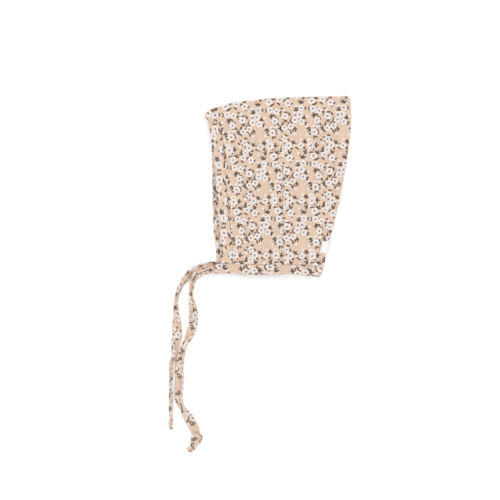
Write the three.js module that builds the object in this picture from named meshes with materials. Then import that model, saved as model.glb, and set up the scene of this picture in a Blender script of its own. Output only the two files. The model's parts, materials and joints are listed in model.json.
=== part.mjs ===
// A baby's pixie bonnet of ribbed printed cotton, lying on its side with its two ties laid out beside it.
// Millimetres. X runs from the face opening to the back seam, Y from the neck up to the folded top and
// Z up from the surface that it lies on. The origin is under the middle of the bonnet without its ties.

import * as THREE from 'three';

// Thickness of the cloth, and the room between the two layers
const CLOTH = 1.2;
const BAND = 2.4;
const SEAM_GAP = 0.3;
const LEAST_AIR = 2;
const LOFT = 13;
const FOLD_RADIUS = (CLOTH + LEAST_AIR) / 2;

// How far in from each edge the near layer takes to rise, and the share of its loft at the open edges
const RISE_FROM_FOLD = 70;
const RISE_FROM_BACK = 62;
const RISE_FROM_OPENING = 50;
const LOFT_AT_FACE = 0.5;
const LOFT_AT_NECK = 0.45;

// The corner where the ties leave the bonnet and their weight holds the near layer down
const TIE_CORNER = { x: -62, y: -90, reach: 48, loft: 0.15 };

// The two ties: a flat tape, its cross-section kept where it rolls up and narrows
const TIE_WIDTH = 11;
const TIE_THICKNESS = 1.8;
const TIE_AREA = TIE_WIDTH * TIE_THICKNESS;
const TIE_STEP = 5.5;
const TIE_SIDES = 8;

// The label in the back seam
const LABEL_THICKNESS = 1;
const LABEL_WIDTH = 8;
const LABEL_HEIGHT = 13;
const LABEL_Y = -66.5;

// Squares of each cloth grid: across from face to back, up from neck to fold, and round a fold. A place
// in a grid is found by going back and forth between its two lines a few times.
const CROWN_GRID = { across: 18, up: 20 };
const FACE_BAND_GRID = { across: 3, up: 20 };
const NECK_BAND_GRID = { across: 20, up: 2 };
const LABEL_GRID = { across: 3, up: 3 };
const FOLD_STEPS = 4;
const PLACE_PASSES = 12;

// The face side of the cloth at some heights: the near layer's edge, the seam of its band, and how far
// the far layer peeks out past it
const FACE_SIDE = [
  { y: -97, edge: -61.5, seam: -49.5, farOut: 5.8 },
  { y: -81, edge: -62.3, seam: -49.7, farOut: 5.6 },
  { y: -49, edge: -64.4, seam: -50.5, farOut: 5.3 },
  { y: -14, edge: -67.3, seam: -52.6, farOut: 3.9 },
  { y: 8, edge: -70.4, seam: -55.2, farOut: 1 },
  { y: 36, edge: -72.1, seam: -58.7, farOut: 0 },
  { y: 56, edge: -74.1, seam: -61.4, farOut: 0 },
  { y: 70, edge: -76, seam: -65.4, farOut: 0 },
  { y: 79.5, edge: -80.6, seam: -69.4, farOut: 0 },
];

// The slanted back seam, up to the middle of the rounded peak
const BACK_SIDE = [
  { y: -98.9, x: 46.5 },
  { y: -88.5, x: 50.6 },
  { y: -74.6, x: 53 },
  { y: -46.4, x: 60.3 },
  { y: -10.1, x: 69.1 },
  { y: 18.2, x: 74.9 },
  { y: 36.8, x: 77.8 },
  { y: 52, x: 79.8 },
  { y: 60, x: 80.6 },
  { y: 90, x: 80.7 },
  { y: 96.4, x: 79.9 },
];

// The folded top, from the corner over the face to the middle of the rounded peak
const TOP_FOLD = [
  { x: -80.6, y: 79.5 },
  { x: -76.3, y: 82.7 },
  { x: -62.9, y: 87.9 },
  { x: -46.1, y: 92.3 },
  { x: -26.4, y: 94.7 },
  { x: 2.2, y: 97.3 },
  { x: 42.2, y: 98.4 },
  { x: 66, y: 98.9 },
  { x: 76, y: 98.7 },
  { x: 79.9, y: 96.4 },
];

// The neck: the seam where the binding starts, and the binding's lower edge
const NECK_SIDE = [
  { x: -68, seam: -83, edge: -95.4 },
  { x: -53, seam: -83, edge: -95 },
  { x: -37, seam: -83.4, edge: -96.2 },
  { x: -1, seam: -84.8, edge: -96.8 },
  { x: 24, seam: -85.6, edge: -98 },
  { x: 52, seam: -87.8, edge: -98.9 },
];

// Long soft creases down the near layer: where, how wide, and how deep at their middle
const CREASES = [
  { x: -30, y: 30, width: 13, length: 150, depth: 0.9 },
  { x: 4, y: -9, width: 12, length: 130, depth: 1.2 },
  { x: 38, y: 10, width: 14, length: 140, depth: 0.8 },
];

// The near tie from the binding's end: its width as seen from above, and its lift off the surface
const NEAR_TIE = [
  { x: -63, y: -89.9, width: 10.8, lift: 3.7 },
  { x: -70.5, y: -92, width: 9.4, lift: 3.4 },
  { x: -79, y: -94.3, width: 7, lift: 3 },
  { x: -86, y: -97.6, width: 6, lift: 1.4 },
  { x: -91.8, y: -102.6, width: 5.8, lift: 0.2 },
  { x: -94.5, y: -109.4, width: 5, lift: 0 },
  { x: -95, y: -118.2, width: 4, lift: 0 },
  { x: -93.8, y: -129, width: 6.6, lift: 0 },
  { x: -92.5, y: -138.4, width: 9, lift: 0 },
  { x: -92.8, y: -149.8, width: 10, lift: 0 },
  { x: -95.7, y: -160.5, width: 9.6, lift: 0 },
  { x: -100.8, y: -171, width: 6, lift: 0 },
  { x: -105.2, y: -182, width: 7, lift: 0 },
  { x: -107.4, y: -190, width: 9, lift: 0 },
  { x: -108.4, y: -201.8, width: 9.6, lift: 0 },
  { x: -108.8, y: -213.9, width: 9.6, lift: 0 },
  { x: -109, y: -229.3, width: 9, lift: 0 },
  { x: -108.5, y: -235.5, width: 8.4, lift: 0 },
  { x: -105.8, y: -242.8, width: 6, lift: 0 },
  { x: -101, y: -250, width: 9, lift: 0 },
  { x: -97, y: -257, width: 10.6, lift: 0 },
  { x: -91.9, y: -266.4, width: 10.6, lift: 0 },
  { x: -89.6, y: -272.4, width: 8, lift: 0 },
];

// The far tie, which comes out under the near one
const FAR_TIE = [
  { x: -68.3, y: -87.6, width: 9.8, lift: 0 },
  { x: -74, y: -87, width: 8.8, lift: 0 },
  { x: -82, y: -88.6, width: 7.8, lift: 0 },
  { x: -90, y: -91.4, width: 7.7, lift: 0 },
  { x: -97.3, y: -96.7, width: 7.5, lift: 0 },
  { x: -104.3, y: -105.7, width: 6.4, lift: 0 },
  { x: -109.2, y: -115.7, width: 5, lift: 0 },
  { x: -111.5, y: -125.9, width: 4, lift: 0 },
  { x: -112.1, y: -135.8, width: 5.4, lift: 0 },
  { x: -111.1, y: -147.9, width: 8.6, lift: 0 },
  { x: -110.4, y: -157.4, width: 10.8, lift: 0 },
  { x: -111.5, y: -169.9, width: 9.6, lift: 0 },
  { x: -112.9, y: -177.6, width: 8, lift: 0 },
  { x: -115.3, y: -188.6, width: 5.4, lift: 0 },
  { x: -117, y: -198, width: 5.4, lift: 0 },
  { x: -117.4, y: -212.8, width: 4.8, lift: 0 },
  { x: -117.4, y: -234.8, width: 4.8, lift: 0 },
  { x: -117, y: -267, width: 4.8, lift: 0 },
];

// The knot and the tail below it
const KNOT = [
  { x: -89.5, y: -272.8, width: 8, lift: 0 },
  { x: -88.6, y: -276, width: 11, lift: 0 },
  { x: -89.2, y: -279.4, width: 12, lift: 0 },
  { x: -91, y: -282.6, width: 9.6, lift: 0 },
  { x: -93.6, y: -285.6, width: 6, lift: 0 },
  { x: -96.2, y: -288.6, width: 6.6, lift: 0 },
  { x: -98.4, y: -291, width: 7, lift: 0 },
];
const KNOT_AREA = 66;
const KNOT_STEP = 2;
const TAIL_FROM = -284;

const MATERIALS = {
  cloth: new THREE.MeshStandardMaterial({ color: 0xe1cab8, roughness: 0.9, metalness: 0 }),
  bandCloth: new THREE.MeshStandardMaterial({ color: 0xdec4b0, roughness: 0.9, metalness: 0 }),
  tieCloth: new THREE.MeshStandardMaterial({ color: 0xd8bba5, roughness: 0.9, metalness: 0 }),
  labelCloth: new THREE.MeshStandardMaterial({ color: 0xf4f1ec, roughness: 0.8, metalness: 0 }),
};

const { clamp, lerp } = THREE.MathUtils;

// A smooth curve through a table: the value in one column for a value in another.
function curveThrough(rows, from, to) {
  const places = Float64Array.from(rows, (row) => row[from]);
  const values = Float64Array.from(rows, (row) => row[to]);
  const spline = new THREE.CubicInterpolant(places, values, 1, new Float64Array(1));
  return (place) => spline.evaluate(place)[0];
}

const faceEdge = curveThrough(FACE_SIDE, 'y', 'edge');
const faceSeam = curveThrough(FACE_SIDE, 'y', 'seam');
const farOut = curveThrough(FACE_SIDE, 'y', 'farOut');
const backEdge = curveThrough(BACK_SIDE, 'y', 'x');
const foldEdge = curveThrough(TOP_FOLD, 'x', 'y');
const neckSeam = curveThrough(NECK_SIDE, 'x', 'seam');
const neckEdge = curveThrough(NECK_SIDE, 'x', 'edge');

// A share that climbs from 0 at an edge to 1 at a distance, on a parabola.
function rise(distance, reach) {
  const left = 1 - clamp(distance / reach, 0, 1);
  return 1 - left * left;
}

// How deep the creases press into the near layer at a place: a bell across each, a bell along it.
function creaseDepth(x, y) {
  return CREASES.reduce((sum, crease) => {
    const across = (x - crease.x) / (crease.width / 2);
    const along = (y - crease.y) / (crease.length / 2);
    return sum + crease.depth * Math.exp(-across * across) * Math.exp(-(along ** 4));
  }, 0);
}

// Room between the two layers: least at the fold and the back seam, most in the middle, and held down
// again towards the two openings.
function airBetween(x, y) {
  const inset = FOLD_RADIUS + BAND / 2;
  const closed = rise(foldEdge(x) - inset - y, RISE_FROM_FOLD) * rise(backEdge(y) - inset - x, RISE_FROM_BACK);
  const face = lerp(LOFT_AT_FACE, 1, rise(x - faceEdge(y), RISE_FROM_OPENING));
  const neck = lerp(LOFT_AT_NECK, 1, rise(y - neckEdge(x), RISE_FROM_OPENING));
  const fromCorner = Math.hypot(x - TIE_CORNER.x, y - TIE_CORNER.y);
  const corner = lerp(TIE_CORNER.loft, 1, rise(fromCorner, TIE_CORNER.reach));
  return LEAST_AIR + closed * face * neck * corner * (LOFT - creaseDepth(x, y));
}

function nearHeight(x, y, thickness) {
  return CLOTH + airBetween(x, y) + thickness / 2;
}

// Where a share of the way across meets a share of the way up, between four edge lines.
function placeBetween(lines, across, up) {
  let x = 0;
  let y = 0;
  for (let pass = 0; pass < PLACE_PASSES; pass += 1) {
    x = lerp(lines.left(y), lines.right(y), across);
    y = lerp(lines.bottom(x), lines.top(x), up);
  }
  return new THREE.Vector2(x, y);
}

// A grid of points on a middle surface, with its upper side out, or its under side.
function addGrid(surface, grid, outIsUp, pointAt) {
  const first = surface.points.length;
  const indexOf = (column, row) => first + row * (grid.across + 1) + column;
  for (let row = 0; row <= grid.up; row += 1) {
    for (let column = 0; column <= grid.across; column += 1) {
      surface.points.push(pointAt(column / grid.across, row / grid.up));
    }
  }
  for (let row = 0; row < grid.up; row += 1) {
    for (let column = 0; column < grid.across; column += 1) {
      const low = [indexOf(column, row), indexOf(column + 1, row)];
      const high = [indexOf(column, row + 1), indexOf(column + 1, row + 1)];
      const corners = [low[0], low[1], high[1], high[0]];
      addSquare(surface.triangles, ...(outIsUp ? corners : corners.reverse()));
    }
  }
  return indexOf;
}

function addSquare(triangles, a, b, c, d) {
  triangles.push(a, b, c, a, c, d);
}

// Turns the cloth over its edge, from a line of the near layer to the same line of the far one, in
// half circles that stand out from the line.
function addTurnOver(surface, nearLine, farLine) {
  const near = nearLine.map((index) => surface.points[index]);
  const far = farLine.map((index) => surface.points[index]);
  let last = nearLine;
  for (let step = 1; step <= FOLD_STEPS; step += 1) {
    const angle = (Math.PI * step) / FOLD_STEPS;
    const next = step === FOLD_STEPS ? farLine : near.map((point, place) => {
      const before = near[Math.max(place - 1, 0)];
      const after = near[Math.min(place + 1, near.length - 1)];
      const outward = new THREE.Vector3(before.y - after.y, after.x - before.x, 0).normalize();
      const middle = point.clone().add(far[place]).multiplyScalar(0.5);
      const radius = (point.z - far[place].z) / 2;
      middle.addScaledVector(outward, radius * Math.sin(angle));
      middle.z += radius * Math.cos(angle);
      return surface.points.push(middle) - 1;
    });
    for (let place = 0; place + 1 < last.length; place += 1) {
      addSquare(surface.triangles, last[place], last[place + 1], next[place + 1], next[place]);
    }
    last = next;
  }
}

// Gives a middle surface its thickness: a copy on each side along the normals, and a strip between
// them round every free edge.
function thicken(surface, thickness) {
  const middle = new THREE.BufferGeometry().setFromPoints(surface.points);
  middle.setIndex(surface.triangles);
  middle.computeVertexNormals();
  const normals = middle.getAttribute('normal');
  const count = surface.points.length;
  const sides = [0.5, -0.5].flatMap((share) => surface.points.map((point, index) => {
    const normal = new THREE.Vector3().fromBufferAttribute(normals, index);
    return point.clone().addScaledVector(normal, share * thickness);
  }));
  const triangles = [];
  const edges = new Map();
  for (let first = 0; first < surface.triangles.length; first += 3) {
    const corners = surface.triangles.slice(first, first + 3);
    triangles.push(...corners, ...corners.map((index) => index + count).reverse());
    corners.forEach((index, place) => edges.set(`${index},${corners[(place + 1) % 3]}`, true));
  }
  for (const key of edges.keys()) {
    const [from, to] = key.split(',').map(Number);
    if (!edges.has(`${to},${from}`)) {
      addSquare(triangles, to, from, from + count, to + count);
    }
  }
  const solid = new THREE.BufferGeometry().setFromPoints(sides);
  solid.setIndex(triangles);
  solid.computeVertexNormals();
  return solid;
}

// A cloth in two layers, a near and a far one, that turns over at the fold, the back seam or both.
function layeredCloth(nearLines, farLines, grid, thickness, turns) {
  const surface = { points: [], triangles: [] };
  const near = addGrid(surface, grid, true, (across, up) => {
    const place = placeBetween(nearLines, across, up);
    return new THREE.Vector3(place.x, place.y, nearHeight(place.x, place.y, thickness));
  });
  const far = addGrid(surface, grid, false, (across, up) => {
    const place = placeBetween(farLines, across, up);
    return new THREE.Vector3(place.x, place.y, thickness / 2);
  });
  const lineOf = (indexOf) => {
    const overTop = Array.from({ length: grid.across + 1 }, (_, column) => indexOf(column, grid.up));
    const downBack = Array.from({ length: grid.up + 1 }, (_, row) => indexOf(grid.across, grid.up - row));
    return [...(turns.fold ? overTop : []), ...(turns.back ? downBack.slice(turns.fold ? 1 : 0) : [])];
  };
  addTurnOver(surface, lineOf(near), lineOf(far));
  return thicken(surface, thickness);
}

function crown() {
  const inset = FOLD_RADIUS + CLOTH / 2;
  const lines = {
    left: faceSeam,
    right: (y) => backEdge(y) - inset,
    bottom: neckSeam,
    top: (x) => foldEdge(x) - inset,
  };
  const farLines = { ...lines, left: (y) => faceSeam(y) - farOut(y) };
  return layeredCloth(lines, farLines, CROWN_GRID, CLOTH, { fold: true, back: true });
}

function faceBand() {
  const inset = FOLD_RADIUS + BAND / 2;
  const lines = {
    left: faceEdge,
    right: (y) => faceSeam(y) - SEAM_GAP,
    bottom: neckSeam,
    top: (x) => foldEdge(x) - inset,
  };
  const farLines = {
    ...lines,
    left: (y) => faceEdge(y) - farOut(y),
    right: (y) => faceSeam(y) - farOut(y) - SEAM_GAP,
  };
  return layeredCloth(lines, farLines, FACE_BAND_GRID, BAND, { fold: true, back: false });
}

function neckBand() {
  const inset = FOLD_RADIUS + BAND / 2;
  const lines = {
    left: faceEdge,
    right: (y) => backEdge(y) - inset,
    bottom: neckEdge,
    top: (x) => neckSeam(x) - SEAM_GAP,
  };
  const farLines = { ...lines, left: (y) => faceEdge(y) - farOut(y) };
  return layeredCloth(lines, farLines, NECK_BAND_GRID, BAND, { fold: false, back: true });
}

// A small tag that lies on the near layer with its outer edge in the back seam.
function label() {
  const surface = { points: [], triangles: [] };
  addGrid(surface, LABEL_GRID, true, (across, up) => {
    const y = LABEL_Y + LABEL_HEIGHT * (up - 0.5);
    const x = backEdge(y) - LABEL_WIDTH * (1 - across);
    const lift = CLOTH / 2 + SEAM_GAP + LABEL_THICKNESS / 2;
    return new THREE.Vector3(x, y, nearHeight(x, y, CLOTH) + lift);
  });
  return thicken(surface, LABEL_THICKNESS);
}

// A soft tape along a table of places: oval sections whose height follows from the width, because the
// tape rolls up where it narrows. areaAt gives the cross-section's area at a height of the table.
function tape(rows, step, areaAt) {
  const route = new THREE.CatmullRomCurve3(rows.map((row) => new THREE.Vector3(row.x, row.y, row.lift)));
  const widths = new THREE.SplineCurve(rows.map((row, place) => new THREE.Vector2(place, row.width)));
  const stops = Math.round(route.getLength() / step);
  const points = [];
  for (let stop = 0; stop <= stops; stop += 1) {
    const share = route.getUtoTmapping(stop / stops);
    const middle = route.getPoint(share);
    const along = route.getTangent(share);
    const aside = new THREE.Vector3(along.y, -along.x, 0).normalize();
    const width = widths.getPoint(share).y;
    const height = clamp(areaAt(middle.y) / width, TIE_THICKNESS, width);
    for (let side = 0; side < TIE_SIDES; side += 1) {
      const angle = (2 * Math.PI * (side + 0.5)) / TIE_SIDES;
      const reach = Math.cos(Math.PI / TIE_SIDES);
      const point = middle.clone().addScaledVector(aside, (width / 2) * (Math.cos(angle) / reach));
      point.z = Math.max(middle.z, 0) + (height / 2) * (1 + Math.sin(angle) / reach);
      points.push(point);
    }
  }
  const triangles = [];
  for (let stop = 0; stop < stops; stop += 1) {
    for (let side = 0; side < TIE_SIDES; side += 1) {
      const here = stop * TIE_SIDES + side;
      const beside = stop * TIE_SIDES + ((side + 1) % TIE_SIDES);
      addSquare(triangles, here, here + TIE_SIDES, beside + TIE_SIDES, beside);
    }
  }
  const end = stops * TIE_SIDES;
  for (let side = 1; side + 1 < TIE_SIDES; side += 1) {
    triangles.push(0, side, side + 1, end, end + side + 1, end + side);
  }
  const solid = new THREE.BufferGeometry().setFromPoints(points);
  solid.setIndex(triangles);
  solid.computeVertexNormals();
  return solid;
}

function tie(rows) {
  return tape(rows, TIE_STEP, () => TIE_AREA);
}

function tieKnot() {
  return tape(KNOT, KNOT_STEP, (y) => (y > TAIL_FROM ? KNOT_AREA : TIE_AREA));
}

function piece(name, geometry, material) {
  const mesh = new THREE.Mesh(geometry, material);
  mesh.name = name;
  return mesh;
}

const bonnet = new THREE.Group();
bonnet.add(
  piece('crown', crown(), MATERIALS.cloth),
  piece('face_band', faceBand(), MATERIALS.bandCloth),
  piece('neck_band', neckBand(), MATERIALS.bandCloth),
  piece('label', label(), MATERIALS.labelCloth),
);

const ties = new THREE.Group();
ties.add(
  piece('near_tie', tie(NEAR_TIE), MATERIALS.tieCloth),
  piece('far_tie', tie(FAR_TIE), MATERIALS.tieCloth),
  piece('tie_knot', tieKnot(), MATERIALS.tieCloth),
);

const pixieBonnet = new THREE.Group();
pixieBonnet.add(bonnet, ties);

export default pixieBonnet;
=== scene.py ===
"""Dresses a baby's pixie bonnet of ribbed printed cotton, which lies on its side with its ties laid out.

Sizes are millimetres until a mesh is made. X runs from the face opening to the back seam, Y from the neck
to the folded top and Z up from the floor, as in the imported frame.
"""
import json
import logging
from dataclasses import dataclass, field
from enum import Enum
from typing import Any, Callable, NamedTuple, Sequence

import bpy
import numpy as np
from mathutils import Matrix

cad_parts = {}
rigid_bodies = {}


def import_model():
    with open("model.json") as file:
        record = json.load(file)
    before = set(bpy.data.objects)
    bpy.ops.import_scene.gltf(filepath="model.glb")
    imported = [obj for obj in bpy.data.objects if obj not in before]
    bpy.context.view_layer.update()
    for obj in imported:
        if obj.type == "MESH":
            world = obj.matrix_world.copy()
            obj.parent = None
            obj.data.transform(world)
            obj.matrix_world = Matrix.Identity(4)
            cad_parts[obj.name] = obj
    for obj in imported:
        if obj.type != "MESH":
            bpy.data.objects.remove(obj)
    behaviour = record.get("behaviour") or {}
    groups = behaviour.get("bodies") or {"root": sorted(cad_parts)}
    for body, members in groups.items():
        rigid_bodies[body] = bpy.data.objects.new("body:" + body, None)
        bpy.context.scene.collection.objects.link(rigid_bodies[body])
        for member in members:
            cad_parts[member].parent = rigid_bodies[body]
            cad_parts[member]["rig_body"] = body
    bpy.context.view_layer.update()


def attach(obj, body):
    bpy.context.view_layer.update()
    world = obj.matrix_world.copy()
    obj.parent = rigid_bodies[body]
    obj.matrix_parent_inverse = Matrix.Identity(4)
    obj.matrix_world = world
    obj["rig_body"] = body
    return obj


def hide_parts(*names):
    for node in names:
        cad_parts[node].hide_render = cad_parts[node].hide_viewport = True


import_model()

METRES = 0.001
FULL_TURN = 2 * np.pi
UP = np.array([0.0, 0.0, 1.0])

# The least length that anything is divided by
TINY = 1e-12

PRINT_MAP = "cloth"
BODY = "root"

# The node that holds how much of the print shows, and its shares inside the crown and on the ties
SHOWN = "shown"
INSIDE_SHOWS = 0.16
TIES_SHOW = 0.88

log = logging.getLogger("pixie_bonnet")


class Turn(Enum):
    """Where a cloth in two layers turns over from its near layer to its far one."""

    FOLD = "over the folded top"
    BACK = "round the back seam"
    FOLD_AND_BACK = "over the folded top and round the back seam"


class Face(Enum):
    """The two sides of a cloth, and the material slot that each takes."""

    OUTSIDE = 0
    INSIDE = 1


def clamp01(value: np.ndarray) -> np.ndarray:
    """Holds values between 0 and 1."""
    return np.clip(value, 0.0, 1.0)


def ease(value: np.ndarray) -> np.ndarray:
    """Eases a share from 0 to 1: 3 squares less 2 cubes."""
    share = clamp01(value)
    return share * share * (3 - 2 * share)


def rise(distance: np.ndarray, reach: float) -> np.ndarray:
    """Climbs from 0 at an edge to 1 at a distance: 1 less the square of the share that is left."""
    return 1 - (1 - clamp01(distance / reach)) ** 2


def bell(distance: np.ndarray, width: float) -> np.ndarray:
    """Falls off on both sides of a line: e to the power of minus the square of distance by half width."""
    return np.exp(-((distance / (width / 2)) ** 2))


def mix(low: Any, high: Any, share: np.ndarray) -> np.ndarray:
    """Blends from low to high by a share."""
    return low + (high - low) * share


@dataclass(frozen=True)
class SmoothTable:
    """A smooth curve through a table: cubic pieces whose slope at a row is the mean of its neighbours'."""

    places: tuple[float, ...]
    values: tuple[float, ...]

    @classmethod
    def through(cls, rows: Sequence[NamedTuple], across: str, up: str) -> "SmoothTable":
        """Takes two named columns of a table, with the first one rising."""
        return cls(tuple(getattr(row, across) for row in rows), tuple(getattr(row, up) for row in rows))

    def __call__(self, place: np.ndarray) -> np.ndarray:
        """Reads the curve, which stays level beyond its two ends."""
        places = np.array(self.places, float)
        values = np.array(self.values, float)
        slopes = np.diff(values) / np.diff(places)
        tangents = np.concatenate([slopes[:1], (slopes[:-1] + slopes[1:]) / 2, slopes[-1:]])
        held = np.clip(place, places[0], places[-1])
        row = np.clip(np.searchsorted(places, held, side="right") - 1, 0, len(places) - 2)
        step = places[row + 1] - places[row]
        share = (held - places[row]) / step
        rest = 1 - share
        start = values[row] * (1 + 2 * share) * rest**2 + tangents[row] * step * share * rest**2
        end = values[row + 1] * (3 - 2 * share) * share**2 - tangents[row + 1] * step * rest * share**2
        return start + end


class FaceRow(NamedTuple):
    """The face side at a height: near edge, seam of its band, and how far the far layer peeks out."""

    y: float
    edge: float
    seam: float
    far_out: float


class PlaceRow(NamedTuple):
    """A point of an outline."""

    x: float
    y: float


class NeckRow(NamedTuple):
    """The neck at a place across: the seam where its binding starts, and the binding's lower edge."""

    x: float
    seam: float
    edge: float


class CreaseRow(NamedTuple):
    """A long soft crease: where its middle is, its width and length, and its depth."""

    x: float
    y: float
    width: float
    length: float
    depth: float


class TapeRow(NamedTuple):
    """A place of a tie: its width as seen from above, its lift, and its edges' share folded over right."""

    x: float
    y: float
    width: float
    lift: float
    over: float


FACE_SIDE = (
    FaceRow(-97, -62.3, -48.6, 4.6),
    FaceRow(-81, -62.6, -48.7, 4.8),
    FaceRow(-70, -62.9, -48.8, 5),
    FaceRow(-59, -63.1, -49.9, 5.8),
    FaceRow(-48, -64, -51.6, 6.2),
    FaceRow(-37, -64.9, -52.6, 6),
    FaceRow(-26, -65.7, -53.5, 5.5),
    FaceRow(-15, -66.5, -54.6, 5.1),
    FaceRow(-4, -67.4, -55.5, 4.5),
    FaceRow(7, -68.2, -56.5, 3.8),
    FaceRow(18, -68.9, -57.3, 3.2),
    FaceRow(29, -70, -58, 2.2),
    FaceRow(40, -71.5, -58.9, 1),
    FaceRow(51, -73.2, -59.9, 0),
    FaceRow(62, -74.6, -61.6, 0),
    FaceRow(70, -76, -64.6, 0),
    FaceRow(79.5, -80.6, -69.4, 0),
)

BACK_SIDE = (
    PlaceRow(46.5, -98.9),
    PlaceRow(50.6, -88.5),
    PlaceRow(53, -74.6),
    PlaceRow(60.3, -46.4),
    PlaceRow(68.8, -10.1),
    PlaceRow(74.2, 18.2),
    PlaceRow(77, 36.8),
    PlaceRow(79, 52),
    PlaceRow(79.9, 60),
    PlaceRow(80.1, 90),
    PlaceRow(79.7, 96.8),
)

TOP_FOLD = (
    PlaceRow(-80.6, 79.5),
    PlaceRow(-76.3, 82.7),
    PlaceRow(-62.9, 87.9),
    PlaceRow(-46.1, 92.3),
    PlaceRow(-26.4, 94.7),
    PlaceRow(2.2, 97.3),
    PlaceRow(42.2, 98.4),
    PlaceRow(66, 98.9),
    PlaceRow(76.4, 98.8),
    PlaceRow(79.7, 96.8),
)

NECK_SIDE = (
    NeckRow(-68, -84, -95.8),
    NeckRow(-57, -84.3, -95.3),
    NeckRow(-40, -85.2, -96.8),
    NeckRow(-14, -85.5, -97),
    NeckRow(8, -85.5, -96.5),
    NeckRow(25, -85.6, -97),
    NeckRow(36, -86.4, -98.3),
    NeckRow(46, -88.1, -99.3),
    NeckRow(52, -89.1, -99.9),
)

SOFT_CREASES = (
    CreaseRow(-30, 30, 13, 150, 0.9),
    CreaseRow(4, -9, 12, 130, 1.2),
    CreaseRow(38, 10, 14, 140, 0.8),
)

# Narrow creases that the cloth keeps from having been folded, on the near layer
SHARP_CREASES = (
    CreaseRow(-9.9, -48, 2.6, 120, 0.5),
    CreaseRow(-9.4, 24, 2.4, 34, 0.35),
    CreaseRow(-50.5, -20, 3, 90, 0.4),
    CreaseRow(-24, 50, 3.4, 60, 0.3),
    CreaseRow(27, -52, 3.6, 70, 0.35),
    CreaseRow(46, 22, 3.2, 90, 0.35),
)

NEAR_TIE = (
    TapeRow(-60.4, -89.9, 10.8, 3.4, 0.5),
    TapeRow(-63, -90.2, 10.6, 3.6, 0.5),
    TapeRow(-70.9, -91.1, 8.3, 3.4, 0.4),
    TapeRow(-80.6, -93.6, 6, 2.8, 0.5),
    TapeRow(-86.9, -96.3, 6.2, 1.4, 0.5),
    TapeRow(-91.9, -101.2, 5.6, 0.2, 0.5),
    TapeRow(-94.5, -109.4, 5, 0, 0.5),
    TapeRow(-95, -118.2, 4, 0, 0.5),
    TapeRow(-93.8, -129, 6.6, 0, 0.9),
    TapeRow(-92.5, -138.4, 9, 0, 1),
    TapeRow(-92.8, -149.8, 10, 0, 0.7),
    TapeRow(-95.7, -160.5, 9.6, 0, 0.2),
    TapeRow(-100.8, -171, 6, 0, 0),
    TapeRow(-105.2, -182, 7, 0, 0),
    TapeRow(-107.4, -190, 9, 0, 0.2),
    TapeRow(-108.2, -201.8, 9.4, 0, 0.3),
    TapeRow(-108.4, -213.9, 9.2, 0, 0.2),
    TapeRow(-108.6, -229.3, 8.6, 0, 0.6),
    TapeRow(-108, -235.5, 8, 0, 1),
    TapeRow(-105.4, -242.8, 5.4, 0, 0.5),
    TapeRow(-101, -249.6, 8.8, 0, 0),
    TapeRow(-96.6, -257, 10.8, 0, 0),
    TapeRow(-91.5, -266.4, 10.6, 0, 0.5),
    TapeRow(-89.6, -272.4, 8, 0.4, 0.5),
)

FAR_TIE = (
    TapeRow(-66.6, -87.8, 10, 0, 0.5),
    TapeRow(-68.3, -87.6, 9.8, 0, 0.5),
    TapeRow(-74, -87, 8.8, 0, 0.5),
    TapeRow(-82, -88, 7.8, 0, 0.5),
    TapeRow(-90, -91.4, 7.7, 0, 0.5),
    TapeRow(-97.3, -96.7, 7.5, 0, 0.6),
    TapeRow(-104.3, -105.7, 6.4, 0, 0.8),
    TapeRow(-109.2, -115.7, 5, 0, 0.8),
    TapeRow(-111.5, -125.9, 4, 0, 0.5),
    TapeRow(-112.1, -135.8, 5.4, 0, 0.1),
    TapeRow(-111.1, -147.9, 8.6, 0, 0),
    TapeRow(-110.4, -157.4, 10.8, 0, 0.4),
    TapeRow(-111.5, -169.9, 9.6, 0, 0.9),
    TapeRow(-112.9, -177.6, 8, 0, 1),
    TapeRow(-114.2, -188, 5.2, 0, 0.9),
    TapeRow(-115.8, -191.6, 5.2, 0, 0.6),
    TapeRow(-117, -196, 4.6, 0, 0.3),
    TapeRow(-117.5, -206, 4, 0, 0),
    TapeRow(-117.6, -234.8, 4, 0, 0.2),
    TapeRow(-117.3, -267, 4.2, 0, 0.5),
)

# The overhand knot: the strand that runs through to the tail, the turn over it, and the loop beside it
KNOT_STRANDS = (
    (
        TapeRow(-90.4, -269.6, 8, 0.6, 0.5),
        TapeRow(-90, -274, 6.4, 0.9, 0.5),
        TapeRow(-90.4, -279, 6, 0.8, 0.5),
        TapeRow(-91.8, -283.8, 6.4, 0.5, 0.5),
        TapeRow(-94.4, -287.8, 6.6, 0.1, 0.5),
        TapeRow(-98.1, -290.7, 6, 0, 0.5),
    ),
    (
        TapeRow(-85.5, -279, 4.2, 0.1, 0),
        TapeRow(-85.4, -275.4, 5, 1.8, 0),
        TapeRow(-88.6, -274.2, 5.4, 3.2, 0),
        TapeRow(-91.6, -275.4, 5.4, 3, 0),
        TapeRow(-92.8, -278.4, 5, 1.6, 0),
        TapeRow(-92.4, -281.4, 4.6, 0.2, 0),
    ),
    (
        TapeRow(-88, -273.6, 4.6, 0.6, 1),
        TapeRow(-85.7, -276.6, 5, 1.8, 1),
        TapeRow(-86.8, -280, 5.4, 2.8, 1),
        TapeRow(-90, -281.6, 5.6, 3, 1),
        TapeRow(-92.8, -283.4, 5.2, 1.6, 1),
        TapeRow(-94, -286, 4.8, 0.3, 1),
    ),
)


class Corner(NamedTuple):
    """The corner where the ties leave the bonnet and their weight holds the near layer down."""

    x: float = -62
    y: float = -90
    reach: float = 48
    loft: float = 0.15


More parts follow.
